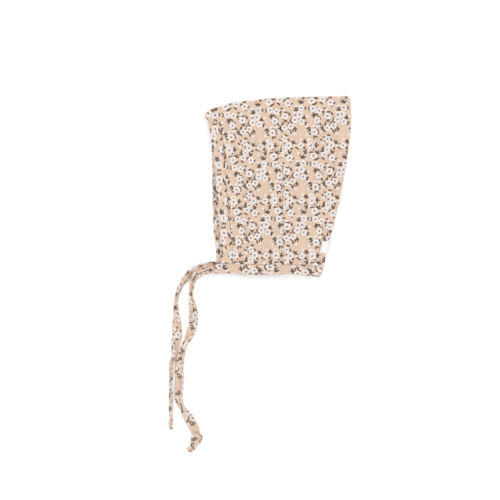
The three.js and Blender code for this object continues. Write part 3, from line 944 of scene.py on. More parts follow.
# The leaves of a spray stand together
LEAF_CHART = charted(
    (10.5, -0.1, 2.6, 1.5, 85), (9.7, 0.8, 2.2, 1.4, 20),
    (11.7, 1.1, 2.2, 1.4, -15), (10.9, 2.6, 2.2, 1.3, -80),
    (8.6, 2.9, 2.7, 1.3, 95),
    (4.6, 49.9, 3, 1.4, -25), (7.6, 49.9, 3, 1.4, 25), (6.2, 48, 2.8, 1.3, 85), (7.1, 46.2, 2.4, 1.4, 35),
    (7.6, 44.9, 1.3, 1, 80),
    (-1.2, 50.8, 3.2, 1.5, 88), (-1.9, 52.3, 2.6, 1.4, 5), (3.9, 52.3, 2.8, 1.6, -8),
    (4.9, 1.8, 2.8, 1.2, -30), (6.5, 4.1, 3.6, 1.5, -70),
    (0.9, 7.3, 2.2, 1.6, 65), (2.3, 7.6, 2.4, 1.2, 5),
    (3.2, 11.2, 2.2, 1.6, 40), (4.2, 12.3, 2, 1.2, -55), (38.9, 9.4, 2.3, 1.4, 5),
    (7.7, 14, 3.2, 1.5, -65), (9.3, 13.8, 2.6, 1.4, 55), (9.7, 15.4, 2.6, 1.4, -5), (8.4, 15.4, 2, 1.5, 0),
    (13, 16.2, 2.8, 1.3, -40),
    (20.3, 13.7, 4.8, 1.7, -88), (18.9, 12.9, 2.2, 1.3, -35),
    (19, 14.3, 2.6, 1.3, 5), (21.4, 14.2, 1.8, 1.3, -15),
    (24.2, 0.2, 3, 1.8, -15), (23.1, 1.2, 2.4, 1.3, 0), (25.3, 2, 3.6, 1.5, 95), (24.3, 3.3, 2.6, 1.4, 45),
    (24.7, 6.2, 2.2, 1.3, 20), (26.1, 5.8, 2, 1.8, 30),
    (18.8, 19.9, 2.6, 1.5, 10), (19.9, 19.1, 2.2, 0.9, 40), (19.6, 20.9, 2.2, 1.1, -50),
    (21.1, 22.7, 3, 1.3, 70), (19.2, 23.5, 2.8, 1.3, -20), (20.2, 24.9, 3, 2, 55),
    (3.6, 23, 3, 1.4, -80), (5.6, 23.9, 2.6, 1.3, 35), (4.3, 25, 3.2, 2, -10), (6.3, 20.4, 3.1, 1.9, -50),
    (11.3, 19.9, 3.2, 1.4, -30), (13.6, 21.2, 2, 0.8, 15), (0, 16.4, 2.2, 1.2, 0),
    (0.3, 27.7, 1.8, 1.4, -20), (1.8, 26.9, 2.6, 1.1, 35), (1, 28.6, 2.6, 1.4, -85),
    (7.6, 30.8, 2.4, 1.8, 40), (8.8, 30.2, 1.6, 0.7, 20), (14.9, 26.5, 1.7, 0.9, 10),
    (15.9, 28.9, 2.8, 1.7, -20), (17.7, 28.2, 2.6, 1.5, 90),
    (18.2, 29.6, 3.4, 1.9, -35), (19.8, 29, 2.4, 1.1, 35),
    (17, 30, 2.6, 1.3, 10),
    (11.8, 35.6, 2.4, 1.5, -50), (13.5, 34.4, 2, 1.1, 0),
    (14.4, 36.2, 2.8, 1.2, -85), (13.2, 37.2, 3.4, 2, 20),
    (11.3, 37.4, 2.8, 1.4, 10), (12.6, 36.2, 2, 1.3, -45),
    (21.6, 34.6, 2.6, 1.2, 45), (21.5, 36, 2.6, 1.1, -35), (20.9, 35.4, 1.5, 1.3, 0),
    (24.9, 34.9, 2.4, 1.1, -50), (25.5, 36.3, 2.2, 1.2, -85), (24.8, 37.4, 1.8, 1.1, 35),
    (40, 35.7, 1.9, 1.1, -45), (41, 35.7, 1.9, 1.1, 45), (5.5, 33.9, 1.8, 1, 90),
    (39.5, 38.9, 2, 1.3, 75), (38.4, 39.5, 2, 1.2, 15),
    (39.4, 40.2, 1.8, 1.1, -35), (39.4, 42.4, 1.7, 1.2, 0),
    (2, 39.4, 4, 1.5, 5), (5.2, 40.6, 2.4, 1.5, 80), (5.8, 41.8, 2.4, 1.6, -45), (11.8, 41.8, 2.6, 1.4, 60),
    (0, 47.1, 3, 1.5, -45), (2.3, 47.6, 2.8, 1.3, 30), (1.2, 48.6, 2.6, 1.7, 90),
    (14.8, 46.5, 2.2, 1.5, 10), (14.3, 48.4, 3.2, 1.1, 85),
    (20, 43.7, 3.2, 1.3, 45), (18.8, 45.1, 2.4, 1.6, 70),
    (20.5, 45.7, 3.4, 1.4, -12), (20.5, 44.8, 1.8, 1.1, -50),
    (21.2, 51, 4, 1.5, -85), (22, 49.6, 2.4, 1.2, 20),
    (38.2, 0.2, 4.4, 1.8, -80), (36.6, 0.5, 2.6, 1.2, 0), (37.7, 2.3, 1.9, 1.3, 60), (39.6, 3, 2.4, 1.5, -35),
    (40.3, 4.4, 1.4, 0.9, -80),
    (32.9, 2, 2.6, 1.3, -55), (33.5, 4.6, 4, 1.4, -90), (29.4, 9, 4.2, 1.5, 78), (31.3, 8.6, 3.6, 1.4, -48),
    (36.5, 12.2, 3.4, 1.3, -42), (39.5, 13.6, 2, 1, -70),
    (31.1, 16.1, 3.2, 1.5, 70), (30.8, 18.4, 3, 1.6, -60), (30.6, 17.3, 2, 1.8, 0), (32.7, 17.4, 2.8, 1.2, 0),
    (31, 24.4, 3.8, 2, -60), (33.2, 23.2, 2.2, 1.2, 60),
    (33.3, 25.5, 2.8, 1.5, 10), (32.1, 24.6, 1.6, 1.4, 0),
    (38.1, 19.8, 3, 1.3, -65), (37.6, 22, 3.6, 2, -70),
    (36.4, 21.3, 1.6, 1.2, -40), (36.1, 23.5, 2.2, 1.5, 5),
    (38.2, 23.3, 2, 1.2, 0),
    (29.7, 32.1, 3.2, 1.3, 10), (31.2, 31, 3, 1.8, 20),
    (32.9, 30.4, 2.4, 1.3, 40), (30.7, 30.4, 1.5, 1.1, -70),
    (36.9, 29.8, 2.2, 1.2, 15), (38.1, 31, 2.6, 1.3, -55),
    (32.5, 35.4, 1.6, 0.7, 0), (28.4, 21.4, 1.7, 1.2, 80),
    (29.6, 41.5, 3.2, 1.5, -75), (28.6, 42.8, 2.6, 1.3, 10),
    (29.7, 44, 3.2, 1.5, 75), (30.9, 41.5, 2.8, 1.2, 15),
    (33, 42.2, 2.8, 1.5, -70), (31, 42.6, 1.8, 1.1, 50),
    (34.9, 44.6, 2.6, 1.5, -35), (36.1, 45.9, 2.6, 1.1, -70), (29.8, 48.6, 1.5, 0.9, 0),
    (32.5, 51.6, 1.5, 1.1, 80), (34.4, 52.2, 1.2, 0.8, 80),
    (35.9, 51, 2.4, 1.6, -60), (36.6, 52.2, 1.6, 1, -75),
    (30.1, 0.4, 1.6, 1, 20), (24.8, 24.4, 2.2, 1.3, 5), (26.9, 24.3, 2.4, 1.8, 5),
)


Colour = tuple[float, float, float]

# The knit's own measures: from rib to rib, from stitch to stitch and from course to course
RIB_WIDTH = 2.4
STITCH_WIDTH = 0.8
COURSE_HEIGHT = 0.9

# The mean of Blender's noise
NOISE_MEAN = 0.5

# What stands for the third axis, which the flat print doesn't use
UNUSED_AXIS = 2


class MixSockets(NamedTuple):
    """The numbers of a Mix node's sockets for one kind of value: its two inputs and its output."""

    first: int
    second: int
    result: int


VECTOR_SOCKETS = MixSockets(4, 5, 1)
COLOUR_SOCKETS = MixSockets(6, 7, 2)


class Patches(NamedTuple):
    """Random patches on a cloth: how many there are in a millimetre, how broken up they are, how much
    they count, and what the place is multiplied by where they are drawn out."""

    scale: float
    detail: float
    strength: float
    squeeze: tuple[float, float, float] | None = None


class Bench:
    """A node tree to build in, with one way of adding a node and short forms of the usual ones."""

    def __init__(self, tree: bpy.types.NodeTree) -> None:
        """Keeps the tree."""
        self.tree = tree

    def node(self, kind: str, settings: dict[str, Any] | None = None,
             inputs: dict[str | int, Any] | None = None) -> bpy.types.Node:
        """Adds a node.

        Args:
            kind: The node's type.
            settings: Its properties, set first.
            inputs: A value or a wire for each socket, by name or number.

        Returns:
            The node.
        """
        node = self.tree.nodes.new(kind)
        for name, value in (settings or {}).items():
            setattr(node, name, value)
        for key, value in (inputs or {}).items():
            if isinstance(value, Wire):
                self.tree.links.new(value.socket, node.inputs[key])
            else:
                node.inputs[key].default_value = value
        return node

    def wire(self, node: bpy.types.Node, output: str | int = 0) -> "Wire":
        """One output of a node."""
        return Wire(self, node.outputs[output])

    def maths(self, operation: str, *values: Any, clamp: bool = False) -> "Wire":
        """A Math node on numbers and wires."""
        settings = {"operation": operation, "use_clamp": clamp}
        return self.wire(self.node("ShaderNodeMath", settings, dict(enumerate(values))))

    def vectors(self, operation: str, *values: Any, scale: Any = None) -> "Wire":
        """A Vector Math node on vectors and wires."""
        inputs = dict(enumerate(values))
        if scale is not None:
            inputs["Scale"] = scale
        node = self.node("ShaderNodeVectorMath", {"operation": operation}, inputs)
        return self.wire(node, "Value" if operation == "LENGTH" else "Vector")

    def vector_between(self, share: "Wire", first: "Wire", second: "Wire") -> "Wire":
        """Blends two vectors by a share."""
        at = VECTOR_SOCKETS
        settings = {"data_type": "VECTOR", "clamp_factor": True}
        node = self.node("ShaderNodeMix", settings, {0: share, at.first: first, at.second: second})
        return self.wire(node, at.result)

    def colour_between(self, share: Any, first: Any, second: Any, name: str = "blend") -> "Wire":
        """Blends two colours by a share, in a node with a name."""
        at = COLOUR_SOCKETS
        settings = {"data_type": "RGBA", "clamp_factor": True, "name": name}
        node = self.node("ShaderNodeMix", settings, {0: share, at.first: first, at.second: second})
        return self.wire(node, at.result)

    def across_and_up(self, place: "Wire") -> tuple["Wire", "Wire"]:
        """The two parts of a place on the print: across its ribs, and up along them."""
        parts = self.node("ShaderNodeSeparateXYZ", inputs={0: place})
        return self.wire(parts, 0), self.wire(parts, 1)

    def patches(self, place: "Wire", kind: Patches, output: str | int = 0) -> "Wire":
        """Random patches of a kind, from 0 to 1, before their strength."""
        if kind.squeeze is not None:
            place = self.vectors("MULTIPLY", place, kind.squeeze)
        inputs = {"Vector": place, "Scale": kind.scale, "Detail": kind.detail}
        return self.wire(self.node("ShaderNodeTexNoise", inputs=inputs), output)

    def bump(self, height: "Wire", strength: float, depth: float) -> "Wire":
        """The direction of a surface with a relief of this height, whose depth is in metres."""
        inputs = {"Strength": strength, "Distance": depth, "Height": height}
        return self.wire(self.node("ShaderNodeBump", inputs=inputs))

    def surface(self, inputs: dict[str, Any]) -> None:
        """Ends the tree with a shader that has these inputs."""
        shader = self.node("ShaderNodeBsdfPrincipled", inputs=inputs)
        self.node("ShaderNodeOutputMaterial", inputs={"Surface": self.wire(shader)})


@dataclass(frozen=True)
class Wire:
    """A socket that sends a number or a vector, on which Python's operators add Math nodes."""

    bench: Bench
    socket: bpy.types.NodeSocket

    def __add__(self, other: Any) -> "Wire":
        """Adds."""
        return self.bench.maths("ADD", self, other)

    def __radd__(self, other: Any) -> "Wire":
        """Adds to a number."""
        return self.bench.maths("ADD", other, self)

    def __sub__(self, other: Any) -> "Wire":
        """Subtracts."""
        return self.bench.maths("SUBTRACT", self, other)

    def __rsub__(self, other: Any) -> "Wire":
        """Subtracts from a number."""
        return self.bench.maths("SUBTRACT", other, self)

    def __mul__(self, other: Any) -> "Wire":
        """Multiplies."""
        return self.bench.maths("MULTIPLY", self, other)

    def __rmul__(self, other: Any) -> "Wire":
        """Multiplies a number."""
        return self.bench.maths("MULTIPLY", other, self)

    def __truediv__(self, other: Any) -> "Wire":
        """Divides."""
        return self.bench.maths("DIVIDE", self, other)

    def __pow__(self, power: float) -> "Wire":
        """Raises to a power."""
        return self.bench.maths("POWER", self, power)

    def sine(self) -> "Wire":
        """The sine."""
        return self.bench.maths("SINE", self)

    def cosine(self) -> "Wire":
        """The cosine."""
        return self.bench.maths("COSINE", self)

    def size(self) -> "Wire":
        """The absolute value."""
        return self.bench.maths("ABSOLUTE", self)

    def whole(self) -> "Wire":
        """The whole number below."""
        return self.bench.maths("FLOOR", self)

    def ramp(self, low: float, high: float) -> "Wire":
        """Goes from 0 at the first value to 1 at the second."""
        return self.bench.maths("MULTIPLY_ADD", self, 1 / (high - low), -low / (high - low), clamp=True)

    def as_share(self) -> "Wire":
        """Brings a value between -1 and 1 to between 0 and 1."""
        return self * 0.5 + 0.5

    def soft_step(self, width: float) -> "Wire":
        """Climbs from 0 to 1 over a width with nought in its middle."""
        return self.ramp(-width / 2, width / 2)


def linear(colour: Colour) -> tuple[float, float, float, float]:
    """A colour from the screen's 0 to 255 scale as the light that it stands for by the usual curve: a
    straight line near black, and a power of 2.4 above it."""
    share = np.array(colour) / 255
    light = np.where(share <= 0.04045, share / 12.92, ((share + 0.055) / 1.055) ** 2.4)
    return (*light.tolist(), 1.0)


def bare_material(name: str) -> tuple[bpy.types.Material, Bench, Wire]:
    """A new material, the bench for its nodes, and the print's place on the cloth."""
    material = bpy.data.materials.new(name)
    material.use_nodes = True
    bench = Bench(material.node_tree)
    bench.tree.nodes.clear()
    place = bench.wire(bench.node("ShaderNodeUVMap", {"uv_map": PRINT_MAP}))
    return material, bench, place


@dataclass(frozen=True)
class DitsyPrint:
    """A small floral repeat: white blossoms with brown middles, white buds, and brown leaves in sprays.

    Softness is the width of an edge, as a share of half the motif. Spread is how far the colour runs out
    past the chart's motif, in its squares.
    """

    petal_softness: float = 0.26
    bud_softness: float = 0.4
    leaf_softness: float = 0.42
    middle_softness: float = 0.28
    petal_spread: float = 0.35
    bud_spread: float = 0.4
    leaf_spread: float = 0.25
    petals: int = 5
    petal_power: float = 0.6
    petal_depth: float = 0.3
    middle_shape: tuple[float, float, float] = (0.85, 1.25, 1)
    middle_reach: float = 0.29
    grey_edges: tuple[float, float] = (0.1, 0.62)

    def seen_from(self, bench: Bench, place: Wire, row: OvalRow, spread: float) -> Wire:
        """The place as seen from the nearest copy of a motif: along and across it, with 1 at its edge,
        which lies outside the chart's by as much as the colour spreads."""
        middle = np.array([row.right, -row.down, 0]) * CHART_SQUARE
        half_repeat = np.array([*REPEAT_SQUARES, UNUSED_AXIS]) * CHART_SQUARE / 2
        wrapped = bench.vectors("WRAP", place, tuple(middle + half_repeat), tuple(middle - half_repeat))
        turned = bench.wire(bench.node("ShaderNodeVectorRotate", {"rotation_type": "Z_AXIS"}, {
            "Vector": wrapped, "Center": tuple(middle), "Angle": -np.radians(row.turn)}))
        size = np.array([row.length, row.width, UNUSED_AXIS]) + spread
        shares = 2 / (size * CHART_SQUARE)
        return bench.vectors("MULTIPLY_ADD", turned, tuple(shares), tuple(-middle * shares))

    def ovals(self, bench: Bench, place: Wire, chart: Sequence[OvalRow], softness: float,
              spread: float) -> Wire:
        """How far a chart's ovals cover a place: the least of the distances from them tells."""
        nearest = None
        for row in chart:
            away = bench.vectors("LENGTH", self.seen_from(bench, place, row, spread))
            nearest = away if nearest is None else bench.maths("MINIMUM", nearest, away)
        return (1 - nearest).soft_step(softness)

    def blossoms(self, bench: Bench, place: Wire) -> tuple[Wire, Wire, Wire]:
        """Blossoms: their cover, their brown middles, and the grey towards those middles.

        A blossom's edge is a circle with a lobe for each petal: the size of the cosine of half as many
        times the angle, raised to a small power. A blend keeps the nearest blossom each time.
        """
        seen = None
        for row in BLOSSOM_CHART:
            offset = self.seen_from(bench, place, row, self.petal_spread)
            away = bench.vectors("LENGTH", offset)
            if seen is None:
                seen, nearest = offset, away
                continue
            closer = bench.maths("LESS_THAN", away, nearest)
            seen = bench.vector_between(closer, seen, offset)
            nearest = bench.maths("MINIMUM", away, nearest)
        along, aside = bench.across_and_up(seen)
        angle = bench.maths("ARCTAN2", aside, along)
        lobes = (angle * (self.petals / 2)).cosine().size() ** self.petal_power
        edge = lobes * self.petal_depth + (1 - self.petal_depth)
        flattened = bench.vectors("LENGTH", bench.vectors("MULTIPLY", seen, self.middle_shape))
        middle = (self.middle_reach - flattened).soft_step(self.middle_softness)
        return (edge - nearest).soft_step(self.petal_softness), middle, 1 - nearest.ramp(*self.grey_edges)


@dataclass(frozen=True)
class KnitShade:
    """How uneven the cloth's colour is: streaks along the ribs, slow changes, grain, painted shade in the
    grooves between ribs and along long thin creases, and pale flecks."""

    level: float = 0.56
    streaks: Patches = Patches(1.1, 3.0, 0.24, squeeze=(1.0, 0.06, 1.0))
    slow: Patches = Patches(0.035, 2.0, 0.12)
    grain: Patches = Patches(1.0, 1.0, 0.52, squeeze=(1.0, 0.6, 1.0))
    # Painted shade along long thin creases that run with the ribs
    pulls: Patches = Patches(1.0, 1.0, 0.07, squeeze=(0.13, 0.006, 1.0))
    pull_width: float = 0.03
    # Painted shade in the grooves between the ribs: their width and how much darker they make the colour
    groove_width: float = 0.5
    groove_shade: float = 0.08
    flecks: Patches = Patches(1.0, 1.0, 0.4)
    fleck_edges: tuple[float, float] = (0.61, 0.72)
    fleck_colour: Colour = (227, 220, 217)

    def on(self, bench: Bench, place: Wire, colour: Wire) -> Wire:
        """The colour times a light that is uneven, with flecks over it.

        A groove between ribs, darkened as painted shade, is where the sine across the ribs is near nought,
        and a thin crease, also darkened as painted shade, is where drawn-out patches are near their mean.
        """
        light = self.level
        for kind in (self.streaks, self.slow, self.grain):
            light = bench.patches(place, kind) * kind.strength + light
        across, _ = bench.across_and_up(place)
        # Painted shade: the colour is darkened in the grooves between the ribs
        groove = (across * (np.pi / RIB_WIDTH)).sine().size().ramp(self.groove_width, 0.0)
        # Painted shade: the colour is darkened along long thin creases that run with the ribs
        painted_crease_shade = (bench.patches(place, self.pulls) - NOISE_MEAN).size().ramp(self.pull_width, 0.0)
        light = light - groove * self.groove_shade - painted_crease_shade * self.pulls.strength
        flecks = bench.patches(place, self.flecks).ramp(*self.fleck_edges) * self.flecks.strength
        return bench.colour_between(flecks, bench.vectors("SCALE", colour, scale=light),
                                    linear(self.fleck_colour))


@dataclass(frozen=True)
class KnitRelief:
    """The cloth's relief: rounded ribs, the knit's small chevrons, the edges of its wales, and fuzz."""

    rib_power: float = 0.6
    rib_height: float = 0.5
    slant: float = 0.9
    chevron_height: float = 0.09
    wale_height: float = 0.1
    fuzz: Patches = Patches(2.6, 3.0, 0.35)
    strength: float = 0.75
    depth: float = 0.0003

    def normal(self, bench: Bench, place: Wire) -> Wire:
        """The direction of the surface.

        A rib is the size of a sine, raised to a small power. A chevron is a sine along the rib, shifted
        by how far a place is from the middle of its column of stitches.
        """
        across, up = bench.across_and_up(place)
        ribs = (across * (np.pi / RIB_WIDTH)).sine().size() ** self.rib_power
        column = bench.maths("PINGPONG", across, STITCH_WIDTH / 2)
        chevrons = ((up + column * self.slant) * (FULL_TURN / COURSE_HEIGHT)).sine()
        wales = (across * (FULL_TURN / STITCH_WIDTH)).cosine()
        height = ribs * self.rib_height + chevrons * self.chevron_height + wales * self.wale_height
        height = height + bench.patches(place, self.fuzz) * self.fuzz.strength
        return bench.bump(height, self.strength, self.depth)


@dataclass(frozen=True)
class RibbedCotton:
    """Fine ribbed cotton knit with its print, which is worn away in patches and bleeds a little."""

    name: str
    ground: Colour = (214, 188, 167)
    white: Colour = (227, 220, 217)
    ink: Colour = (82, 66, 59)
    middle: Colour = (121, 104, 95)
    petal_grey: Colour = (199, 191, 186)
    pattern: DitsyPrint = DitsyPrint()
    shade: KnitShade = KnitShade()
    relief: KnitRelief = KnitRelief()
    bud_cover: float = 0.9
    grey_cover: float = 0.6
    wear: Patches = Patches(0.5, 2.0, 0.5)
    least_ink: float = 0.72
    middle_wear: float = 1.6
    least_middle: float = 0.1
    bleed: Patches = Patches(0.9, 2.0, 0.34)
    bleed_across: float = 3.2
    bleed_up: float = 3.8
    fibres: Patches = Patches(0.5, 2.0, 0.14)
    least_rough: float = 0.82

    def material(self) -> bpy.types.Material:
        """Makes the material: the print, the knit's uneven shade and its relief."""
        material, bench, place = bare_material(self.name)
        colour = self.printed(bench, self.bled(bench, place))
        bench.surface({
            "Base Color": self.shade.on(bench, place, colour),
            "Roughness": bench.patches(place, self.fibres) * self.fibres.strength + self.least_rough,
            "Normal": self.relief.normal(bench, place),
            "Sheen Weight": 0.22,
            "Sheen Roughness": 0.45,
            "Specular IOR Level": 0.25,
        })
        return material

    def bled(self, bench: Bench, place: Wire) -> Wire:
        """The place with the ink's uneven bleed: patches, and a small step up or down at each wale."""
        mean = (NOISE_MEAN, NOISE_MEAN, NOISE_MEAN)
        centred = bench.vectors("SUBTRACT", bench.patches(place, self.bleed, "Color"), mean)
        most = (self.bleed.strength * self.bleed_across, self.bleed.strength * self.bleed_up, 0)
        spread = bench.vectors("MULTIPLY", centred, most)
        across, _ = bench.across_and_up(place)
        wale = (across / STITCH_WIDTH).whole()
        step = bench.wire(bench.node("ShaderNodeTexWhiteNoise", {"noise_dimensions": "1D"}, {"W": wale}))
        shift = bench.node("ShaderNodeCombineXYZ", inputs={1: (step - NOISE_MEAN) * self.bleed.strength})
        return bench.vectors("ADD", bench.vectors("ADD", place, spread), bench.wire(shift))

    def printed(self, bench: Bench, place: Wire) -> Wire:
        """The ground with the print on it: buds first, then leaves, blossoms and their middles."""
        ditsy = self.pattern
        petals, middle, grey = ditsy.blossoms(bench, place)
        buds = ditsy.ovals(bench, place, BUD_CHART, ditsy.bud_softness, ditsy.bud_spread)
        leaves = ditsy.ovals(bench, place, LEAF_CHART, ditsy.leaf_softness, ditsy.leaf_spread)
        worn = bench.patches(place, self.wear)
        ink_left = worn * self.wear.strength + self.least_ink
        middle_left = worn * self.middle_wear + self.least_middle
        colour = bench.colour_between(buds * self.bud_cover, linear(self.ground), linear(self.white))
        colour = bench.colour_between(leaves * ink_left, colour, linear(self.ink))
        shaded = bench.colour_between(grey * self.grey_cover, linear(self.white), linear(self.petal_grey))
        colour = bench.colour_between(petals, colour, shaded)
        colour = bench.colour_between(middle * middle_left, colour, linear(self.middle))
        return bench.colour_between(1.0, linear(self.ground), colour, SHOWN)


@dataclass(frozen=True)
class WovenTape:
    """Smooth plain woven tape of the label."""

    name: str = "label_tape"
    colour: Colour = (238, 235, 232)
    shade: Colour = (217, 212, 207)
    yarn: float = 0.42
    weave_shade: float = 0.16
    uneven: Patches = Patches(0.4, 3.0, 0.3)
    rougher: float = 0.15
    least_rough: float = 0.5
    strength: float = 0.4
    depth: float = 0.00012

    def material(self) -> bpy.types.Material:
        """Makes the material: fine crossing yarns in relief and in shade, as a product of two sines."""
        material, bench, place = bare_material(self.name)
        across, up = bench.across_and_up(place)
        yarns = (across * (FULL_TURN / self.yarn)).sine() * (up * (FULL_TURN / self.yarn)).sine()
        weave = yarns.as_share()
        uneven = bench.patches(place, self.uneven)
        share = weave * self.weave_shade + uneven * self.uneven.strength
        bench.surface({
            "Base Color": bench.colour_between(share, linear(self.colour), linear(self.shade)),
            "Roughness": uneven * self.rougher + self.least_rough,
            "Normal": bench.bump(weave, self.strength, self.depth),
            "Sheen Weight": 0.1,
        })
        return material


@dataclass(frozen=True)
class SewingThread:
    """Matt twisted sewing thread."""

    name: str = "sewing_thread"
    colour: Colour = (218, 195, 175)
    shade: Colour = (182, 157, 137)
    twist: float = 0.5
    rougher: float = 0.1
    least_rough: float = 0.6
    strength: float = 0.5
    depth: float = 0.0001

    def material(self) -> bpy.types.Material:
        """Makes the material: slanting plies in shade and relief, as a sine along the thread."""
        material, bench, place = bare_material(self.name)
        across, up = bench.across_and_up(place)
        plies = ((across + up) * (FULL_TURN / self.twist)).sine().as_share()
        bench.surface({
            "Base Color": bench.colour_between(plies, linear(self.shade), linear(self.colour)),
            "Roughness": plies * self.rougher + self.least_rough,
            "Normal": bench.bump(plies, self.strength, self.depth),
        })
        return material


def copied(cloth: bpy.types.Material, name: str, shown: float = 1.0) -> bpy.types.Material:
    """The same cloth under another name, with as much of its print as shows on that side."""
    other = cloth.copy()
    other.name = name
    other.node_tree.nodes[SHOWN].inputs[0].default_value = shown
    return other


def dressed(name: str, solid: Solid, materials: Sequence[bpy.types.Material], slot: str,
            *nodes: str) -> bpy.types.Object:
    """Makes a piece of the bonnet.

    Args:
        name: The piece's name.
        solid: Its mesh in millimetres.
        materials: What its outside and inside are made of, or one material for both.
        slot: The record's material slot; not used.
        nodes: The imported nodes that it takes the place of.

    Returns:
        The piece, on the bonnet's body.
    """
    piece = new_object(name, solid, materials)
    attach(piece, BODY)
    if nodes:
        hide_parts(*nodes)
    return piece


@dataclass(frozen=True)
class Cloths:
    """The materials of the bonnet's pieces."""

    outside: bpy.types.Material
    inside: bpy.types.Material
    band: bpy.types.Material
    tie: bpy.types.Material
    label: bpy.types.Material
    thread: bpy.types.Material

    @classmethod
    def made(cls) -> "Cloths":
        """Makes them all. The cloth's shader is made once, and its copies differ in name and in how much
        of the print shows."""
        outside = RibbedCotton("crown_cotton").material()
        return cls(
            outside=outside,
            inside=copied(outside, "crown_cotton_inside", INSIDE_SHOWS),
            band=copied(outside, "band_cotton"),
            tie=copied(outside, "tie_cotton", TIES_SHOW),
            label=WovenTape().material(),
            thread=SewingThread().material(),
        )


@dataclass(frozen=True)
class Crown:
    """The main cloth: folded over the top, seamed down the back, open at the face and the neck."""

    form: BonnetForm
    relief: NearRelief
    pleat: Pleat
    lay: CrownPrint = CrownPrint()
    columns_left: int = 60
    columns_right: int = 56
    rows: int = 124

    def build(self) -> Solid:
        """Makes the cloth as two strips that meet at the pleat, so that the print can jump there."""
        form = self.form
        inset = form.fold_radius + form.cloth / 2
        rim = form.cloth / 2 - form.seam_tuck

        def bottom(x: np.ndarray) -> np.ndarray:
            """The cut edge, tucked under the neck band's rim."""
            return form.neck_seam(x) + rim

        def top(x: np.ndarray) -> np.ndarray:
            """Where the fold's rounding starts."""
            return form.fold_edge(x) - inset

        def back(y: np.ndarray) -> np.ndarray:
            """Where the back seam's rounding starts."""
            return form.back_edge(y) - inset

        def near_face(y: np.ndarray) -> np.ndarray:
            """The cut edge, tucked under the near face band's rim."""
            return form.face_seam(y) + rim

        def far_face(y: np.ndarray) -> np.ndarray:
            """The cut edge, tucked under the far face band's rim."""
            return form.face_seam(y) - form.far_out(y) + rim

        left = Strip(
            near=EdgeLines(near_face, self.pleat.line, bottom, top),
            far=EdgeLines(far_face, self.pleat.line, bottom, top),
            columns=self.columns_left,
            places=lambda x, y: self.lay.places(x, y, self.pleat.hidden_at(y)),
        )
        right = Strip(
            near=EdgeLines(self.pleat.line, back, bottom, top),
            far=EdgeLines(self.pleat.line, back, bottom, top),
            columns=self.columns_right,
            places=self.lay.places,
        )
        cloth = TwoLayerCloth(form, self.relief, [left, right], self.rows, form.cloth, Turn.FOLD_AND_BACK)
        return cloth.build()


@dataclass(frozen=True)
class FaceBand:
    """The doubled band round the face opening, which goes over the fold."""

    form: BonnetForm
    relief: NearRelief
    lay: BandPrint = FACE_BAND_PRINT
    columns: int = 12
    rows: int = 150

    def build(self) -> Solid:
        """Makes the band between the face edge and its seam, on both layers."""
        form = self.form
        rim = form.band / 2

        def near_edge(y: np.ndarray) -> np.ndarray:
            """The near layer's folded edge."""
            return form.face_edge(y) + rim

        def near_seam(y: np.ndarray) -> np.ndarray:
            """The near layer's seam."""
            return form.face_seam(y) - form.seam_gap - rim

        def bottom(x: np.ndarray) -> np.ndarray:
            """The end at the neck seam, tucked under the neck band's rim."""
            return form.neck_seam(x) + rim - form.band_tuck

        def top(x: np.ndarray) -> np.ndarray:
            """Where the fold's rounding starts."""
            return form.fold_edge(x) - form.fold_radius - rim

        def far_edge(y: np.ndarray) -> np.ndarray:
            """The far layer's folded edge, which peeks out past the near one."""
            return near_edge(y) - form.far_out(y)

        def far_seam(y: np.ndarray) -> np.ndarray:
            """The far layer's seam."""
            return near_seam(y) - form.far_out(y)

        strip = Strip(
            near=EdgeLines(near_edge, near_seam, bottom, top),
            far=EdgeLines(far_edge, far_seam, bottom, top),
            columns=self.columns,
            places=self.lay.places,
        )
        return TwoLayerCloth(form, self.relief, [strip], self.rows, form.band, Turn.FOLD).build()


class StitchLine(NamedTuple):
    """A line to sew along: its points, and the outward direction of the cloth at each of them."""

    points: np.ndarray
    directions: np.ndarray


@dataclass(frozen=True)
class NeckBand:
    """The folded binding round the neck edge, which goes round the back."""

    form: BonnetForm
    relief: NearRelief
    lay: BandPrint = NECK_BAND_PRINT
    columns: int = 110
    rows: int = 12
    stitch_below_seam: float = 2.0
    stitch_from: float = -59.0
    stitch_to: float = 47.0
    stitch_samples: int = 400

    def build(self) -> Solid:
        """Makes the binding between the neck edge and its seam, on both layers."""
        form = self.form
        rim = form.band / 2

        def near_left(y: np.ndarray) -> np.ndarray:
            """The near layer's end at the face."""
            return form.face_edge(y) + rim

        def far_left(y: np.ndarray) -> np.ndarray:
            """The far layer's end at the face."""
            return near_left(y) - form.far_out(y)

        def right(y: np.ndarray) -> np.ndarray:
            """Where the back's rounding starts."""
            return form.back_edge(y) - form.fold_radius - rim

        def bottom(x: np.ndarray) -> np.ndarray:
            """The binding's folded edge."""
            return form.neck_edge(x) + rim

        def top(x: np.ndarray) -> np.ndarray:
            """The binding's seam."""
            return form.neck_seam(x) - form.seam_gap - rim

        strip = Strip(
            near=EdgeLines(near_left, right, bottom, top),
            far=EdgeLines(far_left, right, bottom, top),
            columns=self.columns,
            places=self.lay.places,
        )
        return TwoLayerCloth(form, self.relief, [strip], self.rows, form.band, Turn.BACK).build()

    def stitch_line(self) -> StitchLine:
        """The line of stitches on the near layer, just below the seam."""
        form = self.form
        x = np.linspace(self.stitch_from, self.stitch_to, self.stitch_samples)
        y = form.neck_seam(x) - self.stitch_below_seam
        z = form.near_height(x, y, form.band) + self.relief.height(x, y) + form.band / 2
        points = np.stack([x, y, z], axis=-1)
        return StitchLine(points, np.broadcast_to(UP, points.shape))


